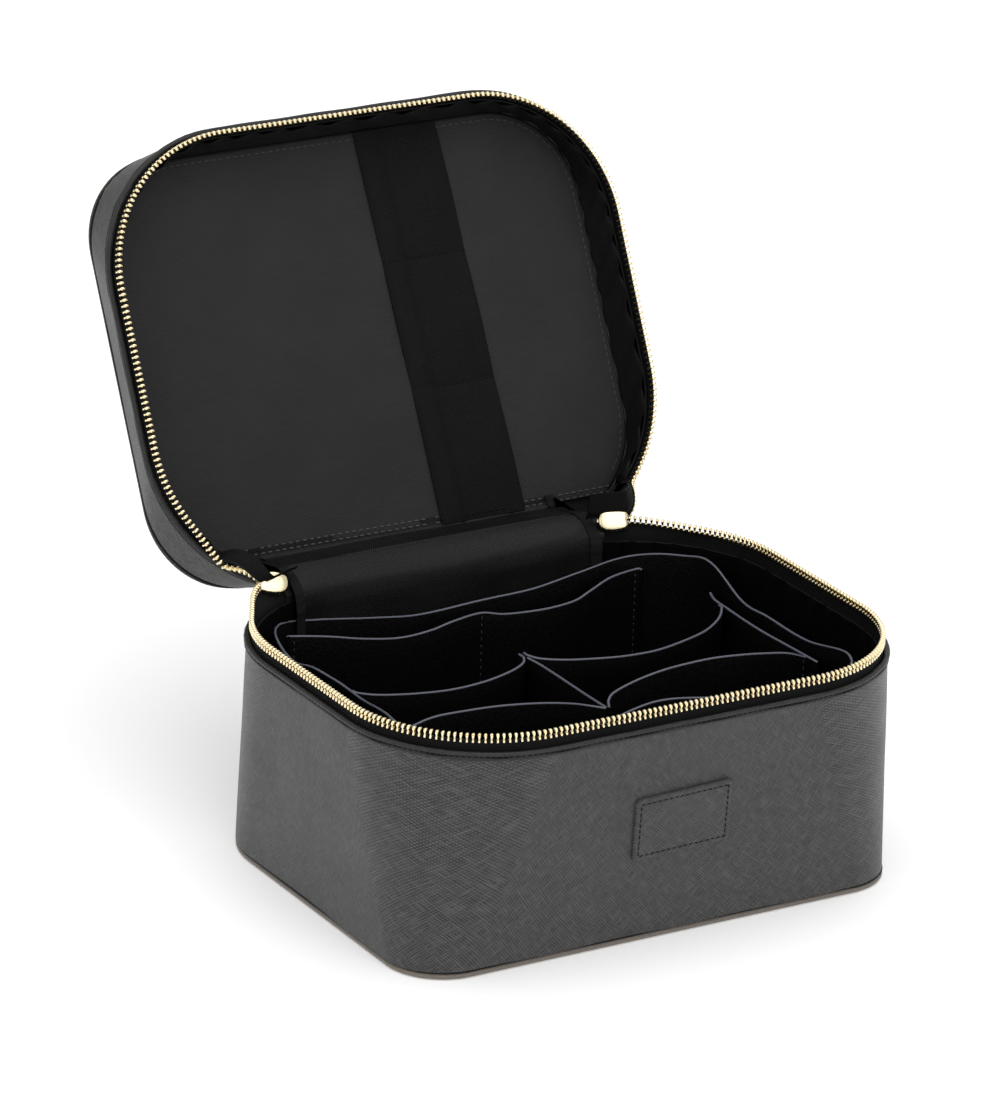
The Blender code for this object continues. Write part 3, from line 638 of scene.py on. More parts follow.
def add_tooth(data, tip, down, along, out):
    """One metal tooth: a rounded head, a waist, and a foot clamped on the tape's edge."""
    def squarish(value):
        return math.copysign(abs(value) ** 0.6, value) * 0.001

    loft(data, [[data.verts.new(tip + down * depth + along * (squarish(math.cos(a)) * half_along)
                                + out * (squarish(math.sin(a)) * half_out))
                 for a in (2 * math.pi * (k + 0.5) / 8 for k in range(8))]
                for depth, half_along, half_out in TOOTH])


def drawn_out(points, z):
    """Points of the zip's line, moved out where the tape is pulled towards its sliders."""
    moved = []
    for p in points:
        side = -1 if p.x < 0 else 1
        begins, full, amount, lift = PULLED[side]
        share = smooth((begins - abs(p.x)) / (begins - full)) if p.y > 0 else 0.0
        corner = RIM["half_x"] - RIM["r_back"]
        arc = Vector((p.x - side * corner, p.y - RIM["back"] + RIM["r_back"]))
        out = arc.normalized() if abs(p.x) > corner else Vector((0, 1))
        q = p.xy + out * (amount * share)
        moved.append(Vector((q.x, q.y, z + lift * share)))
    return moved


def lid_share(x):
    """How far the zip's lid half turns with the lid, by its distance from the middle."""
    near, far = LEAVES[-1 if x < 0 else 1]
    return smooth((abs(x) - near) / (far - near))


def zip_line(z, start_left, start_right, inset=TEETH_INSET, shape=RIM):
    points = plan(shape, inset, *arc_ends(shape, start_left, start_right, inset), False)
    finer = [a.lerp(b, k / 8) for a, b in zip(points, points[1:]) for k in range(8)] + points[-1:]
    return drawn_out(finer, z)


def teeth(name, path, down, start, spin=None):
    """A row of teeth along a path. spin(x) is the share of the lid's turn that each one takes."""
    data = bmesh.new()
    for point, d in along_path(path, PITCH, start):
        turn = Matrix.Rotation(-LID_OPENING * (spin(point.x) if spin else 0.0), 3, "X")
        low = turn @ down
        d = (d - low * d.dot(low)).normalized()
        add_tooth(data, point, low, d, d.cross(low))
    return finish_mesh(name, data, GOLD)


def tape_profile(low, high, toward):
    """Cross-section of the tape, thicker along the edge that the teeth clamp."""
    cord = high - toward * 0.0012
    flat = [low + (cord - low) * t for t in (0.0, 0.45, 0.62, 0.74, 0.84, 0.92, 1.0)]
    return ([(TAPE_INSET, z) for z in flat] + [(TAPE_INSET - 0.0003, cord + toward * 0.0005),
            (TAPE_INSET - 0.0002, high), (TAPE_INSET + 0.0008, high),
            (TAPE_INSET + 0.0009, cord + toward * 0.0005)]
            + [(TAPE_INSET + 0.0006, z) for z in flat[::-1]])


def build_zip():
    path = zip_line(BODY_TIP, SLIDER_AT[0] + 0.004, SLIDER_AT[1] + 0.003)
    ride(teeth("body_teeth", path, DOWN, 0.0004), "body", ["body_zip_teeth"])
    rows = []
    for inset, z in tape_profile(0.0900, BODY_TIP - 0.0027, 1):
        shape = body_shape(min(z, BODY_TOP))
        share = smooth((z - 0.0984) / 0.0050)
        ends = HINGE_ENDS[0] - 0.004, HINGE_ENDS[1] - 0.004
        far = zip_line(z, *ends, inset, shape)
        near = raised(plan(shape, inset, *arc_ends(shape, *ends, inset), False), z)
        rows.append([n.lerp(f, share) for n, f in zip(near, far[::8])])
    ride(grid("body_tape", rows, TAPE_CLOTH, loop=True), "body", ["body_zip_tape"])

    # The lid's row rides on the lid, except near the sliders, where it bends down to them.
    whole = zip_line(LID_TIP, SLIDER_AT[0] + 0.004, SLIDER_AT[1] + 0.003)
    ends, rest = {-1: [], 1: []}, []
    for p in whole:
        side = -1 if p.x < 0 else 1
        (ends[side] if abs(p.x) < LEAVES[side][1] and p.y > 0 else rest).append(p)
    ride(teeth("lid_teeth", rest, UP, 0.0006), "lid", ["lid_zip_teeth"])
    tape = tape_profile(0.1190, LID_TIP + 0.0027, -1)
    rows = []
    for inset, z in tape:
        shape, share = lid_shape(z), smooth((0.1108 - z) / 0.0050)
        line = plan(shape, inset, *arc_ends(shape, LEAVES[-1][1], LEAVES[1][1], inset), False)
        rows.append([p.lerp(q, share) for p, q in zip(raised(line, z), drawn_out(line, z))])
    ride(grid("lid_tape", rows, TAPE_CLOTH, loop=True), "lid", ["lid_zip_tape"])
    for side, word, tall in ((-1, "left", 0.1112), (1, "right", 0.1190)):
        near, far = LEAVES[side]
        path = [turned(p, lid_share(p.x)) for p in ends[side]]
        piece = teeth("lid_teeth_" + word, path[::-1] if side < 0 else path, UP, 0.0018, lid_share)
        join(piece)
        rows = []
        for inset, z in tape_profile(tall, LID_TIP + 0.0027, -1):
            share = smooth((0.1108 - z) / 0.0050)
            line = corner_line(side, HINGE_ENDS[0 if side < 0 else 1] - 0.003, far, inset, z)
            rows.append([turned(p.lerp(q, share), lid_share(p.x))
                         for p, q in zip(line, drawn_out(line, z))])
        join(grid("lid_tape_" + word, rows, TAPE_CLOTH, loop=True))


def corner_line(side, near_x, far_x, inset, z, count=26):
    """Part of a back corner's arc, from x = near_x out to x = far_x."""
    shape = lid_shape(z)
    bx, by = shape["half_x"] - shape["r_back"], shape["back"] - shape["r_back"]
    r = shape["r_back"] - inset
    first, last = (math.acos(min(1.0, (x - bx) / r)) for x in (near_x, far_x))
    points = []
    for i in range(count + 1):
        a = first + (last - first) * i / count
        points.append(Vector((side * (bx + r * math.cos(a)), by + r * math.sin(a), z)))
    return points


# Each slider's middle, its long axis towards the hinge, and the way its inner plate faces; then
# the pivot of its pull.
SLIDERS = {-1: ((-0.0864, 0.0872, 0.1056), (0.95, -0.22, -0.16), (-0.25, -0.80, 0.50),
                (-0.08656, 0.08773, 0.1040)),
           1: ((0.0790, 0.0872, 0.1056), (-0.934, 0.357, -0.04), (-0.30, -0.86, 0.40),
               (0.08014, 0.09056, 0.1040))}
SLIDER_PLATE = ((-0.0060, 0.0036), (-0.0036, 0.0044), (0.0000, 0.0047), (0.0036, 0.0043),
                (0.0056, 0.0030), (0.0062, 0.0010), (0.0062, -0.0010), (0.0056, -0.0030),
                (0.0036, -0.0043), (0.0000, -0.0047), (-0.0036, -0.0044), (-0.0060, -0.0036),
                (-0.0064, -0.0020), (-0.0060, 0.0), (-0.0064, 0.0020))


def build_slider(side):
    """Two crowned plates either side of the zip, a bridge between them and a bail for the pull."""
    word = "left" if side < 0 else "right"
    centre, along, facing, pivot = (Vector(v) for v in SLIDERS[side])
    along.normalize()
    facing = (facing - along * facing.dot(along)).normalized()
    across = facing.cross(along)
    if across.z < 0:
        across.negate()
    data = bmesh.new()

    def ring(depth, outline, scale=1.0):
        return [data.verts.new(centre - facing * depth + (along * y + across * z) * scale)
                for y, z in outline]

    for way in (-1, 1):
        loft(data, [ring(way * depth, SLIDER_PLATE, scale) for depth, scale in
                    ((0.0016, 0.95), (0.0018, 1.0), (0.0023, 1.0), (0.0027, 0.93), (0.0029, 0.80),
                     (0.0030, 0.5), (0.00304, 0.2))])
    bridge = ((0.0020, -0.0010), (0.0052, -0.0010), (0.0052, 0.0010), (0.0020, 0.0010))
    loft(data, [ring(depth, bridge) for depth in (-0.0018, 0.0018)])
    # The bail that holds the pull's link, arched out over the pull's pivot.
    rings = []
    for i in range(11):
        t = i / 10
        middle = (pivot + along * (0.0036 * (1 - 2 * t)) + Vector((0, 0, 0.0004))
                  - facing * (0.0022 * math.sin(math.pi * t) ** 0.8))
        rings.append([data.verts.new(middle + facing * px + across * pz) for px, pz in
                      ((-0.0004, 0.0010), (-0.0004, -0.0010), (0.0004, -0.0010), (0.0004, 0.0010))])
    loft(data, rings)
    ride(finish_mesh("zip_slider_" + word, data, GOLD), "body", ["slider_" + word])


def keep(node, material, bevel=0.0):
    """A CAD node that stays as it is, with a better material."""
    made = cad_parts[node]
    made.data.materials.clear()
    made.data.materials.append(material)
    made.data.shade_smooth()
    made.data.set_sharp_from_angle(angle=math.radians(40))
    if bevel:
        modifier = made.modifiers.new("bevel", "BEVEL")
        modifier.width = bevel
        modifier.segments = 2
        modifier.limit_method = "ANGLE"
        modifier.angle_limit = math.radians(40)
        modifier.harden_normals = True


# ---- Linings ------------------------------------------------------------------------------

def lining_section(foot, edge, count):
    """A lining's section up from its foot, over its turned edge, and down again."""
    outer, inner = LINING_INSET, LINING_INSET + LINING_THICK
    over = edge + math.copysign(0.0004, edge - foot)
    return (levels(outer, foot, edge, count) + [(outer + 0.0003, over)]
            + levels(inner, edge, foot, count))


def gathers(depth, low, high, seed):
    """Soft upright folds, deepest at the sewn edge and fading away from it."""
    def ripple(along, z, step):
        near = smooth((z - low) / (high - low)) if high > low else smooth((low - z) / (low - high))
        phase = 2.2 * noise.noise(Vector((along * 9, seed, 0.0)))
        fold = math.sin(along * 430 + phase * 3)
        fold += 0.6 * noise.noise(Vector((along * 150, z * 20, seed)))
        return depth * (0.25 + 0.75 * near) * (0.5 * fold - 0.5), 0.0
    return ripple


def build_body_lining():
    top = BODY_TOP - 0.0012
    outer = LINING_INSET
    fold = gathers(0.0017, 0.055, top, 3.0)

    def ripple(along, z, step):
        out, up = fold(along, z, step)
        if z > top - 0.004:
            up += 0.00045 * math.sin(along * 610 + 2 * noise.noise(Vector((along * 40, 0, 5))))
            out *= 0.7
        return out - 0.0002, up
    # The lining cloth here is darkened as painted shade inside the case.
    piece = band("case_lining", body_shape, lining_section(0.0062, top, 12), LINING_CLOTH,
                 ripple=ripple)
    ride(piece, "body", ["body_lining"])
    floor = body_shape(0.006)
    rows = [raised(plan(floor, outer), 0.0058), raised(plan(floor, outer + 0.0002), 0.0064)]
    piece = filled("case_floor_lining", rows, LINING_CLOTH, "body")
    # The rolled edge where the lining is sewn to the zip's tape.
    ends = arc_ends(RIM, HINGE_ENDS[0] - 0.002, HINGE_ENDS[1] - 0.002)
    path = raised(plan(body_shape(top), outer + 0.0002, *ends, False), top + 0.0001)
    for k, p in enumerate(path):
        p.z += 0.0005 * math.sin(k * 1.9) * noise.noise(Vector((k * 0.3, 1, 1)))
    ride(tube("case_lining_edge", path, EDGE_CORD, THREAD), "body")


def build_lid():
    # Leather band, its free edge under the hem and its other edge at the top panel's seam.
    profile = rounded_edge(0.0, LEATHER, LID_HEM + 0.0002, -1)[::-1]
    profile += levels(0.0, LID_HEM + 0.0012, 0.1290, 6)
    profile += rounded_edge(0.0, LEATHER, 0.1298, 1) + [(LEATHER, 0.1240), (LEATHER, 0.1180)]
    ride(band("lid_leather", lid_shape, profile, LEATHER_OUT, ripple=ease), "lid",
         ["lid_band"])
    profile = [(0.0030, 0.1312), (0.0003, 0.1312), (-0.0001, 0.1306), (0.0002, 0.1299),
               (0.0012, 0.1296), (0.0030, 0.1296)]
    ride(band("lid_seam", lid_shape, profile, THREAD), "lid", ["lid_welt"])
    edge = ((0.0010, 0.1312), (0.0001, 0.1317), (0.0, 0.1325), (0.0005, 0.1331), (0.0016, 0.1335))
    rows = [raised(plan(lid_shape(z), inset), z) for inset, z in edge]
    filled("lid_top_leather", rows, LEATHER_OUT, "lid", ["lid_top_panel"],
           relief=lambda p: -0.0002 + 0.00018 * noise.noise(Vector((p.x * 20, p.y * 20, 4))))
    build_hem("lid", lid_shape, LID_HEM, -1)

    # Gathered lining on the inside of the lid's wall.
    low = LID_EDGE - 0.0012
    fold = gathers(0.0019, 0.125, low, 8.0)

    def ripple(along, z, step):
        out, up = fold(along, z, step)
        if z < low + 0.002:
            up += 0.00045 * math.sin(along * 560 + 2 * noise.noise(Vector((along * 40, 0, 9))))
        return out - 0.0001, up
    piece = band("lid_side_lining", lid_shape, lining_section(PANEL_Z + 0.001, low, 7),
                 LID_LINING_CLOTH, ripple=ripple)
    ride(piece, "lid", ["lid_lining_wall"])
    ends = arc_ends(RIM, LEAVES[-1][1], LEAVES[1][1])
    path = raised(plan(lid_shape(low), LINING_INSET + 0.0002, *ends, False), low - 0.0001)
    ride(tube("lid_lining_edge", path, EDGE_CORD, THREAD), "lid")
    build_lid_panel()
    build_brush_band()


def panel_relief(p):
    """The padded panel's slight waves, seen on its face towards the case."""
    waves = 0.00055 * noise.noise(Vector((p.x * 14, p.y * 26, 2.0)))
    return waves + 0.00020 * noise.noise(Vector((p.x * 55, p.y * 70, 6.0)))


PANEL_INSET = 0.0047
PANEL_BACK = 0.0760         # the panel's edge at the hinge, short of the satin's fold


def build_lid_panel():
    shape = lid_shape(PANEL_Z)
    rows = [raised(plan(shape, 0.0040), z) for z in (0.1278, 0.1270)]
    piece = filled("lid_board_cloth", rows, LID_LINING_CLOTH, "lid")
    edge = ((0.0, 0.0024), (0.0, 0.0012), (0.0003, 0.0005), (0.0011, 0.0001), (0.0025, 0.0))
    rows = [[Vector((p.x, min(p.y, PANEL_BACK - inset), PANEL_Z + up))
             for p in plan(shape, PANEL_INSET + inset)] for inset, up in edge]
    piece = filled("lid_panel_cloth", rows, PANEL_CLOTH, "lid",
                   ["lid_lining_panel"], inner=26, relief=panel_relief, dome=-0.0004)
    # Topstitching a few millimetres inside the panel's edge, in paler thread along the hinge side.
    def sew(name, line, thread, *sizes):
        path = [Vector((x, y, PANEL_Z - 0.0001 + panel_relief(Vector((x, y))))) for x, y in line]
        ride(stitches(name, path, DOWN, thread, *sizes), "lid")

    sew("lid_panel_stitches", [p.xy for p in plan(shape, PANEL_INSET + 0.0030) if p.y < 0.0690],
        PANEL_THREAD, 0.0034, 0.0022)
    # Two rows along the hinge side. The right one of each passes straight under the elastic band.
    edge = [-0.1000 + 0.004 * i for i in range(51)]
    for shift, name in ((0.0, "near"), (-0.0023, "far")):
        for word, part in (("left", edge[:28]), ("right", [edge[28], *edge[40:]])):
            line = [(x, 0.0749 + 0.0003 * math.sin(x * 30) + shift) for x in part]
            sew(f"lid_panel_hem_{name}_{word}", line, GREY_THREAD, 0.0034, 0.0023, 0.0005)


# The elastic band's sides at its front end and its hinge end, and its two rows of stitching.
BAND_ENDS_Y = (-0.0955, 0.0766)
BAND_LEFT, BAND_RIGHT = (0.0113, 0.0152), (0.0517, 0.0564)
BAND_ROWS_Y = (-0.0385, 0.0172)
BAND_FOLDS = (0.25, 0.83)
BAND_RIDGE = 0.0012


def band_sides(y):
    """The elastic band's left and right edges, which spread towards the hinge."""
    share = (y - BAND_ENDS_Y[0]) / (BAND_ENDS_Y[1] - BAND_ENDS_Y[0])
    return [low + (high - low) * share for low, high in (BAND_LEFT, BAND_RIGHT)]


def build_brush_band():
    """Elastic band over the panel, sewn across at two places and bowed between them."""
    stops = (BAND_ENDS_Y[0], *BAND_ROWS_Y, BAND_ENDS_Y[1])
    names = ("front", "middle", "back")
    for k in range(3):
        y0, y1 = stops[k], stops[k + 1]
        rows = []
        for i in range(25):
            t = i / 24
            y = y0 + (y1 - y0) * t
            left, right = band_sides(y)
            bow = 0.0015 * math.sin(math.pi * t) ** 0.7
            row_out, row_in = [], []
            for j in range(29):
                s = j / 28
                x = left + (right - left) * s
                ridge = sum(BAND_RIDGE * math.exp(-((s - f) / 0.012) ** 2) for f in BAND_FOLDS)
                margin = 0.00025 if s < BAND_FOLDS[0] or s > BAND_FOLDS[1] else 0.0
                side = min(1.0, s / 0.03, (1 - s) / 0.03)
                waves = 0.0003 * noise.noise(Vector((x * 60, y * 30, k)))
                z = PANEL_Z + panel_relief(Vector((x, y, 0))) * 0.5 - 0.0003
                z -= bow * (0.6 + 0.4 * side)
                row_out.append(Vector((x, y, z - 0.0005 * side - ridge - margin - waves)))
                row_in.append(Vector((x, y, z + 0.0003)))
            rows.append(row_out + row_in[::-1])
        piece = grid("brush_band_" + names[k], rows, ELASTIC_CLOTH, wrap=True)
        ride(piece, "lid", ["brush_loop_" + names[k]])
    for k, y in enumerate((*BAND_ROWS_Y, BAND_ENDS_Y[1] - 0.0025, BAND_ENDS_Y[0] + 0.0040)):
        left, right = band_sides(y)
        path = [Vector((x, y, PANEL_Z - 0.0013)) for x in (left - 0.0008, right + 0.0008)]
        piece = stitches(f"brush_band_stitches_{k + 1}", path, DOWN, THREAD, 0.0030, 0.0021)
        ride(piece, "lid")


# ---- Hinge --------------------------------------------------------------------------------

def build_hinge():
    """Leather outside and satin inside, each one sheet from the body to the lid."""
    def wall(z):
        return body_shape(z) if z < BODY_TOP else lid_shape(z)

    heights = [0.0800 + 0.0004 * i for i in range(98)]
    ends = HINGE_ENDS[0] + 0.004, HINGE_ENDS[1] + 0.004
    rows = [raised(back_plan(wall(z), inset, ends), z)
            for inset, run in ((0.0017, heights), (0.0029, heights[::-1])) for z in run]
    piece = grid("hinge_leather", rows, LEATHER_SMOOTH, loop=True)
    bend(piece, hinge_point(-0.0090, -0.0023), turned(hinge_point(0.0090, -0.0023), 1.0),
         ["hinge_leaf_body", "hinge_leaf_lid"])

    build_satin()


# The satin's line from the bottom of the case's back over the hinge to the lid's panel, as (y, z)
# on the case's middle, and how far it follows the rounded back corners.
SATIN_LINE = ((0.0832, 0.0320, 1.0), (0.0848, 0.0600, 1.0), (0.0860, 0.0850, 1.0),
              (0.0866, 0.0945, 1.0), (0.0884, 0.1005, 0.9), (0.0928, 0.1042, 0.7),
              (0.0990, 0.1056, 0.4),
              (0.1060, 0.1055, 0.2), (0.1140, 0.1042, 0.0), (0.1215, 0.1022, 0.0),
              (0.1245, 0.1062, 0.0))


SATIN_CORNER = 0.0630


def round_in(x):
    """How far the satin follows the rounded back corners forward, at x."""
    past = max(0.0, abs(x) - (RIM["half_x"] - RIM["r_back"]))
    return math.sqrt(SATIN_CORNER ** 2 - past ** 2) - SATIN_CORNER


def build_satin():
    """One sheet, built with the lid open, from the case's back to under the lid's panel."""
    line = spline([Vector(p) for p in SATIN_LINE], 12)

    def strip(name, from_x, to_x, count, lift, thick, material):
        rows = []
        for side in (0, 1):
            run = []
            for i, p in enumerate(line):
                d = line[min(i + 1, len(line) - 1)] - line[max(i - 1, 0)]
                normal = Vector((0.0, -d.y, d.x)).normalized()
                if normal.y > 0 or normal.z < -0.5:
                    normal.negate()
                row = []
                for k in range(count + 1):
                    x = from_x + (to_x - from_x) * k / count
                    place = Vector((x, p.x + round_in(x) * p.z, p.y))
                    edge = 1 - smooth(min(x + HINGE_ENDS[0], HINGE_ENDS[1] - x) / 0.010)
                    crease = 0.0005 * noise.noise(Vector((x * 20, i * 0.07, 3.0)))
                    crease += 0.0008 * edge * noise.noise(Vector((x * 90, i * 0.2, 7.0)))
                    sag = -0.0006 * math.sin(math.pi * k / count) * smooth((i - 40) / 30)
                    row.append(place + normal * (crease + sag + lift + (thick if side else 0.0)))
                run.append(row)
            rows += run[::-1] if side else run
        return grid(name, rows, material, loop=True)

    satin = strip("hinge_satin", -HINGE_ENDS[0], HINGE_ENDS[1], 90, 0.0, 0.0006, SATIN_CLOTH)
    join(satin, ["hinge_lining_body", "hinge_lining_lid"])
    for word, near, far in (("left", -HINGE_ENDS[0] - 0.0008, -HINGE_ENDS[0] + 0.0040),
                            ("right", HINGE_ENDS[1] + 0.0008, HINGE_ENDS[1] - 0.0040)):
        piece = strip("hinge_binding_" + word, near, far, 4, 0.0007, 0.0006, LID_LINING_CLOTH)
        join(piece)
        path = [Vector((far * 1.004, p.x + round_in(far) * p.z - 0.0010, p.y + 0.0006))
                for p in line[24:100]]
        piece = stitches("hinge_binding_stitches_" + word, path, Vector((0, -0.8, 0.6)), THREAD,
                         0.0030, 0.0021)
        join(piece)


def hinge_point(up, inward):
    """A point of the shut hinge, up from its axis and in from it."""
    return HINGE + Vector((0.0, inward, up))


# ---- Patch, handle, pulls -----------------------------------------------------------------

def build_patch():
    """Leather patch with a turned edge and a row of stitches, flat on the front wall."""
    slope = math.atan2(BASE["front"] - RIM["front"], BODY_TOP)
    wall_y = body_shape(PATCH["z"])["front"]
    stand = (PATCH["thick"] + 0.0003) / math.cos(slope)
    place = (Matrix.Translation((PATCH["x"], wall_y - stand, PATCH["z"]))
             @ Matrix.Rotation(slope, 4, "X") @ Matrix.Rotation(math.radians(-1.7), 4, "Y"))
    half_x, half_z = PATCH["width"] / 2, PATCH["height"] / 2

    def outline(inset, depth):
        points = []
        corner = 0.0022
        for sx, sz, start in ((1, 1, 0), (-1, 1, 90), (-1, -1, 180), (1, -1, 270)):
            for i in range(7):
                a = math.radians(start + 15 * i)
                c = max(corner, inset + 0.0004)
                points.append(Vector((sx * (half_x - c) + (c - inset) * math.cos(a), depth,
                                      sz * (half_z - c) + (c - inset) * math.sin(a))))
        return points

    rows = [outline(0.0, PATCH["thick"] + 0.0003), outline(0.0, 0.0007), outline(0.0002, 0.0003),
            outline(0.0008, 0.0), outline(0.0019, 0.0), outline(0.0023, 0.00025),
            outline(0.0027, 0.0), outline(0.0033, 0.0)]
    data = bmesh.new()
    loft(data, [[data.verts.new(p) for p in row] for row in rows])
    plate_uv(data)
    piece = finish_mesh("front_patch_leather", data, LEATHER_OUT)
    piece.data.transform(place)
    ride(piece, "body", ["front_patch"])
    piece = stitches("front_patch_stitches", outline(0.0023, 0.0001), Vector((0, -1, 0)), THREAD,
                     0.0026, 0.0018, closed=True)
    piece.data.transform(place)
    ride(piece, "body")


def build_trims():
    for word in ("left", "right"):
        keep(f"handle_ring_{word}", GOLD)
        keep(f"pull_{word}_link", GOLD)
        keep(f"pull_{word}_tab", GOLD, 0.0003)
        keep(f"handle_tab_{word}", LEATHER_SMOOTH, 0.0003)
    keep("handle_strap", LEATHER_SMOOTH, 0.0008)
    for node in ("base_board", "body_board", "lid_board", "lid_side_board"):
        keep(node, GREY_BOARD)


# ---- Insert -------------------------------------------------------------------------------

SHEET = 0.0011              # the sheets' thickness
FOOT = INSERT_FLOOR + SHEET + 0.0003
LEVELS = 9                  # steps up each side of a sheet
# A sheet's section from its foot over its round edge: which side, how far up, and the crown.
SECTION = ([(1.0, k / LEVELS, 0.0) for k in range(LEVELS + 1)]
           + [(math.cos(math.pi * k / 6), 1.0, math.sin(math.pi * k / 6)) for k in range(1, 6)]
           + [(-1.0, k / LEVELS, 0.0) for k in range(LEVELS, -1, -1)])


def sheet_grid(name, rows, wrap=False):
    """A sheet over the section's rows, with paint on its round edge."""
    return grid(name, rows, [SHEET_PU_SHADED, PAINTED_EDGE], wrap=wrap, loop=True,
                pick=lambda i: 1 if LEVELS <= i < LEVELS + 6 else 0)


def between(a, b, c, d, t):
    """Catmull-Rom curve's value from b to c, as t goes from 0 to 1."""
    return 0.5 * (2 * b + (c - a) * t + (2 * a - 5 * b + 4 * c - d) * t * t
                  + (3 * b - a - 3 * c + d) * t ** 3)


def spline(points, count):
    """Smooth curve through points, with count steps in each stretch."""
    line = [points[0] * 2 - points[1]] + list(points) + [points[-1] * 2 - points[-2]]
    return [between(*four, i / count) for four in zip(line, line[1:], line[2:], line[3:])
            for i in range(count)] + [points[-1].copy()]


def upright(name, points, replaces):
    """Upright sheet along plan points (x, y, top), in millimetres, with a painted round edge.

    Towards the floor it straightens to the line between its ends, as a sewn sheet does.
    """
    line = spline([Vector(p) * 0.001 for p in points], 6)
    first, last = line[0], line[-1]
    side = []
    for i, p in enumerate(line):
        d = line[min(i + 1, len(line) - 1)] - line[max(i - 1, 0)]
        side.append(Vector((-d.y, d.x, 0.0)).normalized() * SHEET / 2)
    rows = []
    for offset, level, crown in SECTION:
        row = []
        for i, p in enumerate(line):
            z = FOOT + (p.z - SHEET / 2 - FOOT) * level
            t = i / (len(line) - 1)
            chord = first.lerp(last, t)
            ease_in = 0.55 * (1 - smooth(level)) * smooth(t * 6) * smooth((1 - t) * 6)
            q = Vector((p.x + (chord.x - p.x) * ease_in, p.y + (chord.y - p.y) * ease_in, 0.0))
            q += side[i] * offset
            q.z = z + crown * SHEET / 2
            row.append(q)
        rows.append(row)
    ride(sheet_grid(name, rows), "insert", replaces)


def seam(name, x, y, low, top):
    """Upright row of stitches on a sheet's front face."""
    path = [Vector((x, y, top - (top - low) * i / 30)) for i in range(31)]
    made = stitches(name, path, Vector((0, -1, 0)), EDGE_THREAD, 0.0032, 0.0020, 0.0005)
    ride(made, "insert")


# Height of the outer wall's edge round the insert, as (plan angle in degrees, height).
WALL_WAVE = ((-30, 0.0920), (-14, 0.0860), (4, 0.0858), (14, 0.0857), (27, 0.0947), (34, 0.0937),
             (45, 0.0917), (55, 0.0878), (68, 0.0840), (85, 0.0832), (107, 0.0820), (121, 0.0849),
             (132, 0.0882), (140, 0.0900), (153, 0.0857), (158, 0.0871), (163, 0.0862),
             (173, 0.0847), (180, 0.0858), (191, 0.0900), (197, 0.0911), (225, 0.0880),
             (245, 0.0900), (270, 0.0944), (300, 0.0905), (330, 0.0920))


def wave_height(angle):
    """Smooth height between the wave's points."""
    if angle < WALL_WAVE[0][0]:
        angle += 360
    for k, ((a, low), (b, high)) in enumerate(zip(WALL_WAVE, WALL_WAVE[1:])):
        if a <= angle <= b:
            t = (angle - a) / (b - a)
            before = WALL_WAVE[k - 1][1] if k else low
            after = WALL_WAVE[k + 2][1] if k + 2 < len(WALL_WAVE) else high
            return between(before, low, high, after, t)
    return WALL_WAVE[-1][1]


def insert_point(p, level):
    """Outer wall's plan point at a level from 0 at its foot to 1 at its edge."""
    x, y = p.x + INSERT_X, p.y
    if p.x < -INSERT["half_x"] / 2:
        x += 0.0080 * math.exp(-((y - 0.0130) / 0.0300) ** 2)
    if p.x < 0 and p.y > 0:
        corner = math.degrees(math.atan2(p.y - 0.0465, -p.x - 0.0665))
        flare = 0.0070 * math.exp(-((corner - 50) / 26) ** 2) * level
        x, y = x - 0.55 * flare, y + 0.83 * flare
    if y < INSERT["front"] + INSERT["r_front"] / 2:
        y += 0.0115 * math.exp(-((x - 0.0080) / 0.0550) ** 2)
    return x, y


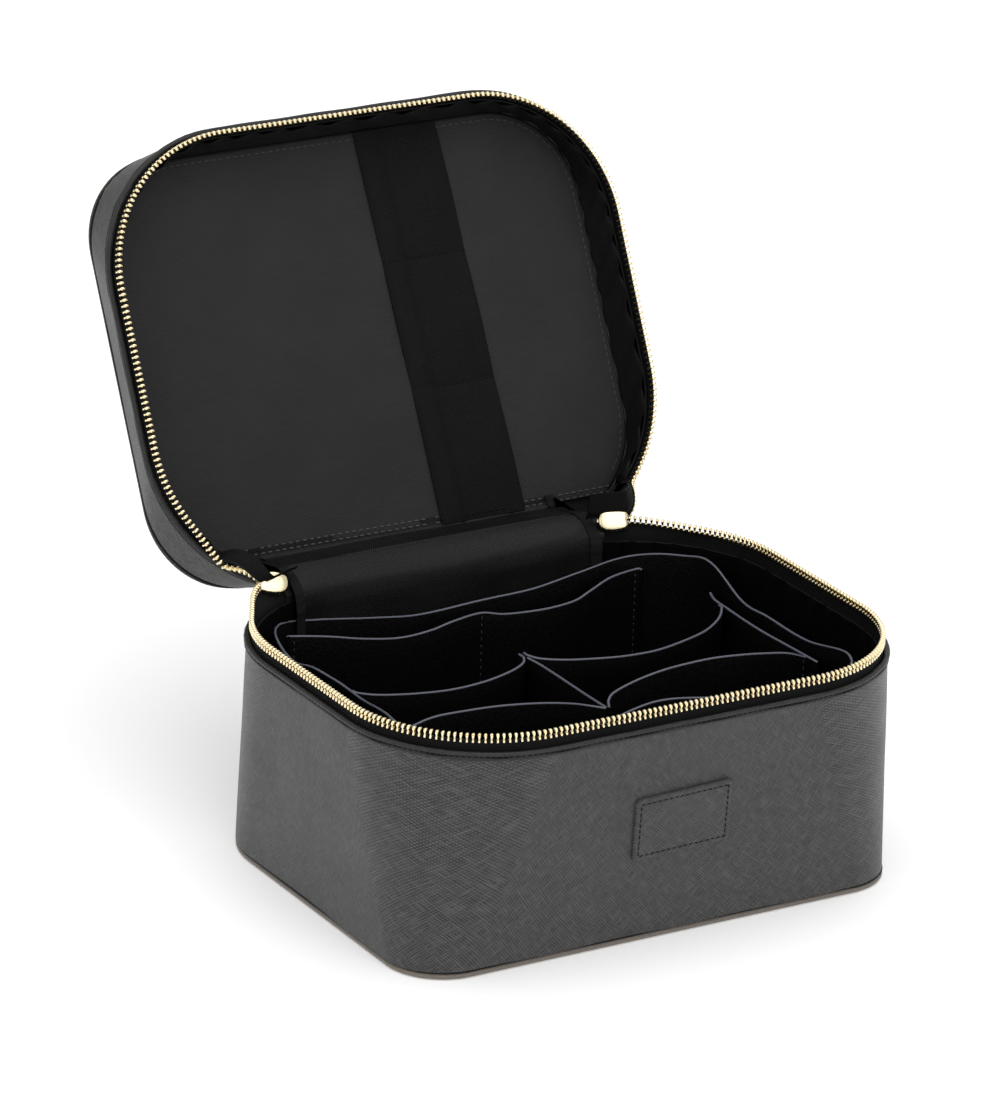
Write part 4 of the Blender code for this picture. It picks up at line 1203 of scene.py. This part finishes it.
def build_insert():
    rows = []
    middle = SHEET / 2
    for offset, level, crown in SECTION:
        row = []
        for p in plan(INSERT, middle * (1 - offset)):
            x, y = insert_point(p, level)
            top = wave_height(math.degrees(math.atan2(y, x - INSERT_X))) - middle
            row.append(Vector((x, y, FOOT + (top - FOOT) * level + crown * middle)))
        rows.append(row)
    piece = sheet_grid("divider_outer_wall", rows, wrap=True)
    ride(piece, "insert", ["insert_outer_wall"])
    flat = [[Vector((*insert_point(p, 0.0), z)) for p in plan(INSERT, 0.0002)]
            for z in (INSERT_FLOOR, INSERT_FLOOR + SHEET)]
    filled("divider_floor", flat, SHEET_PU_SHADED, "insert", ["insert_base"])

    upright("divider_back_pocket", (
        (-88.5, 68.5, 89.0), (-86.5, 70.5, 88.4), (-71, 67.5, 86.6), (-54, 65.3, 83.3),
        (-37.5, 65, 80.9), (-23, 65, 81.5), (-11, 65.5, 83.6), (3.3, 67.5, 84.0), (14, 66.3, 82),
        (29, 66, 81), (40, 66, 81.1), (50, 67, 81.9), (58, 69, 84), (70.5, 73, 86.5),
        (84.5, 75.5, 87), (86.5, 73.5, 87)), ["insert_back_pocket"])
    upright("divider_back_left", (
        (-87.6, 15.5, 84.2), (-86.0, 13.2, 83.8), (-78, 10, 82.7), (-63, 7.5, 81.4),
        (-46.5, 6, 80.7), (-30.6, 6.3, 81.2), (-17.3, 8.5, 82.4), (-9.5, 11.6, 83.4),
        (-6.2, 16.0, 84),
        (-6.0, 20.0, 84)), ["insert_divider_back_left"])
    upright("divider_back_right", (
        (-3.4, 20.5, 84), (-3.2, 17.0, 84), (0.6, 12.9, 83.4), (11.8, 9, 82.3), (29.7, 6.8, 80.8),
        (41.2, 6, 80.3), (53.7, 6.5, 80.1), (67.9, 9.5, 80.5), (81.6, 14.2, 81), (92.0, 20.5, 82.5),
        (97.2, 26.5, 84.2), (97.8, 29.5, 84.2)), ["insert_divider_back_right"])
    upright("divider_cross", (
        (-4.6, 15.5, 83.8), (-3.2, 6, 83.4), (-2.6, -12, 83.0), (-3.2, -30, 83.4),
        (-3.7, -46.6, 84)), ["insert_cross_divider"])
    upright("divider_front_left", (
        (-95.0, -35.5, 85.2), (-93.0, -37.0, 87.4), (-81, -38, 91), (-65.6, -39, 91.5),
        (-49, -40, 91), (-32, -41.6, 89.5), (-18, -42.4, 87), (-10, -43.6, 85), (-4.4, -46.4, 84)),
        ["insert_divider_front_left"])
    upright("divider_front_right", (
        (-3.0, -46.9, 84), (-1.6, -44.6, 84), (0.4, -41.0, 84.8), (5, -38, 86.3),
        (16, -36.9, 89), (29, -36.5, 91), (42, -35.8, 91.5), (54, -35.6, 91.5),
        (65.5, -36.4, 91), (77, -36.8, 89.8), (89, -37.4, 88),
        (97.6, -38.2, 85)), ["insert_divider_front_right"])
    upright("divider_side_pocket", (
        (101.5, 42.5, 84.6), (99.8, 36, 84), (99.8, 26, 83.6), (99.6, 10, 83.2), (99.6, -5, 83.2),
        (99.8, -19, 83.6), (99.9, -32, 84), (100.4, -43.5, 84)), ["insert_side_pocket"])
    for word, x, y, top in (("back_left", -0.0855, 0.0692, 0.0865),
                            ("back_middle", 0.0033, 0.0667, 0.0828),
                            ("back_right", 0.0835, 0.0744, 0.0855),
                            ("front_right", 0.0962, -0.0390, 0.0845)):
        seam("divider_seam_" + word, x, y, 0.018, top)


# ---- Stage --------------------------------------------------------------------------------

def build_stage():
    bpy.ops.mesh.primitive_plane_add(size=60.0, location=(0, 0, -0.0002))
    floor = bpy.context.object
    floor.name = "floor"
    made = Surface("floor_paper", Base_Color=(0.92, 0.92, 0.92, 1.0), Roughness=0.9)
    made.set("Specular IOR Level", 0.1)
    made.set("Emission Color", (1.0, 1.0, 1.0, 1.0))
    made.set("Emission Strength", 0.20)     # a table lit from below, which fills the case's foot
    floor.data.materials.append(made.material)


def build_light():
    """A white studio: soft boxes above, in front and to the left, over an even room light."""
    world = bpy.data.worlds.new("studio")
    world.use_nodes = True
    made = Nodes(world.node_tree)
    background = made.tree.nodes["Background"]
    direction = made.add("ShaderNodeTexCoord").outputs["Generated"]
    strength = ROOM_STRENGTH
    for toward, inner, outer, power in SOFT_BOXES:
        dot = made.add("ShaderNodeVectorMath", {0: direction, 1: Vector(toward).normalized()},
                       operation="DOT_PRODUCT")
        edge = made.add("ShaderNodeMapRange", {"Value": dot.outputs["Value"],
                                               "From Min": math.cos(math.radians(outer)),
                                               "From Max": math.cos(math.radians(inner))},
                        interpolation_type="SMOOTHSTEP")
        strength = made.math("ADD", strength,
                             made.math("MULTIPLY", edge.outputs["Result"], power))
    made.put(background.inputs["Strength"], made.math("MAXIMUM", strength, 0.02))
    background.inputs["Color"].default_value = (1, 1, 1, 1)
    scene = bpy.context.scene
    scene.world = world
    scene.view_settings.view_transform = "Standard"
    scene.view_settings.look = "None"


ROOM_STRENGTH = 0.60
# Direction, the angles in degrees where each box's edge begins and ends, and its strength.
SOFT_BOXES = (((0.02, -0.04, 1.0), 18, 42, 1.45), ((-0.05, -0.80, 0.56), 10, 32, 1.15),
              ((-0.95, -0.20, 0.30), 10, 34, 0.45))


def build_camera():
    """Viewpoint about 31 degrees to the left of the front and 21 degrees up, with a long lens."""
    azimuth, elevation, roll = (math.radians(a) for a in (-30.9084, 20.9933, 1.5998))
    level = math.cos(elevation)
    back = Vector((math.sin(azimuth) * level, -math.cos(azimuth) * level, math.sin(elevation)))
    right = Vector((math.cos(azimuth), math.sin(azimuth), 0.0))
    up = (UP - back * back.z).normalized()
    x_axis = right * math.cos(roll) + up * math.sin(roll)
    y_axis = -right * math.sin(roll) + up * math.cos(roll)
    matrix = Matrix((x_axis, y_axis, back)).transposed().to_4x4()
    matrix.translation = (-1.34573, -2.19992, 1.12461)
    data = bpy.data.cameras.new("camera")
    data.lens = 220.484
    data.sensor_width = 36
    data.clip_start, data.clip_end = 0.1, 100
    camera = bpy.data.objects.new("camera", data)
    camera.matrix_world = matrix
    bpy.context.scene.collection.objects.link(camera)
    bpy.context.scene.camera = camera


build_camera()
build_stage()
build_light()
build_body()
build_zip()
build_slider(-1)
build_slider(1)
build_body_lining()
build_lid()
build_hinge()
build_patch()
build_trims()
build_insert()
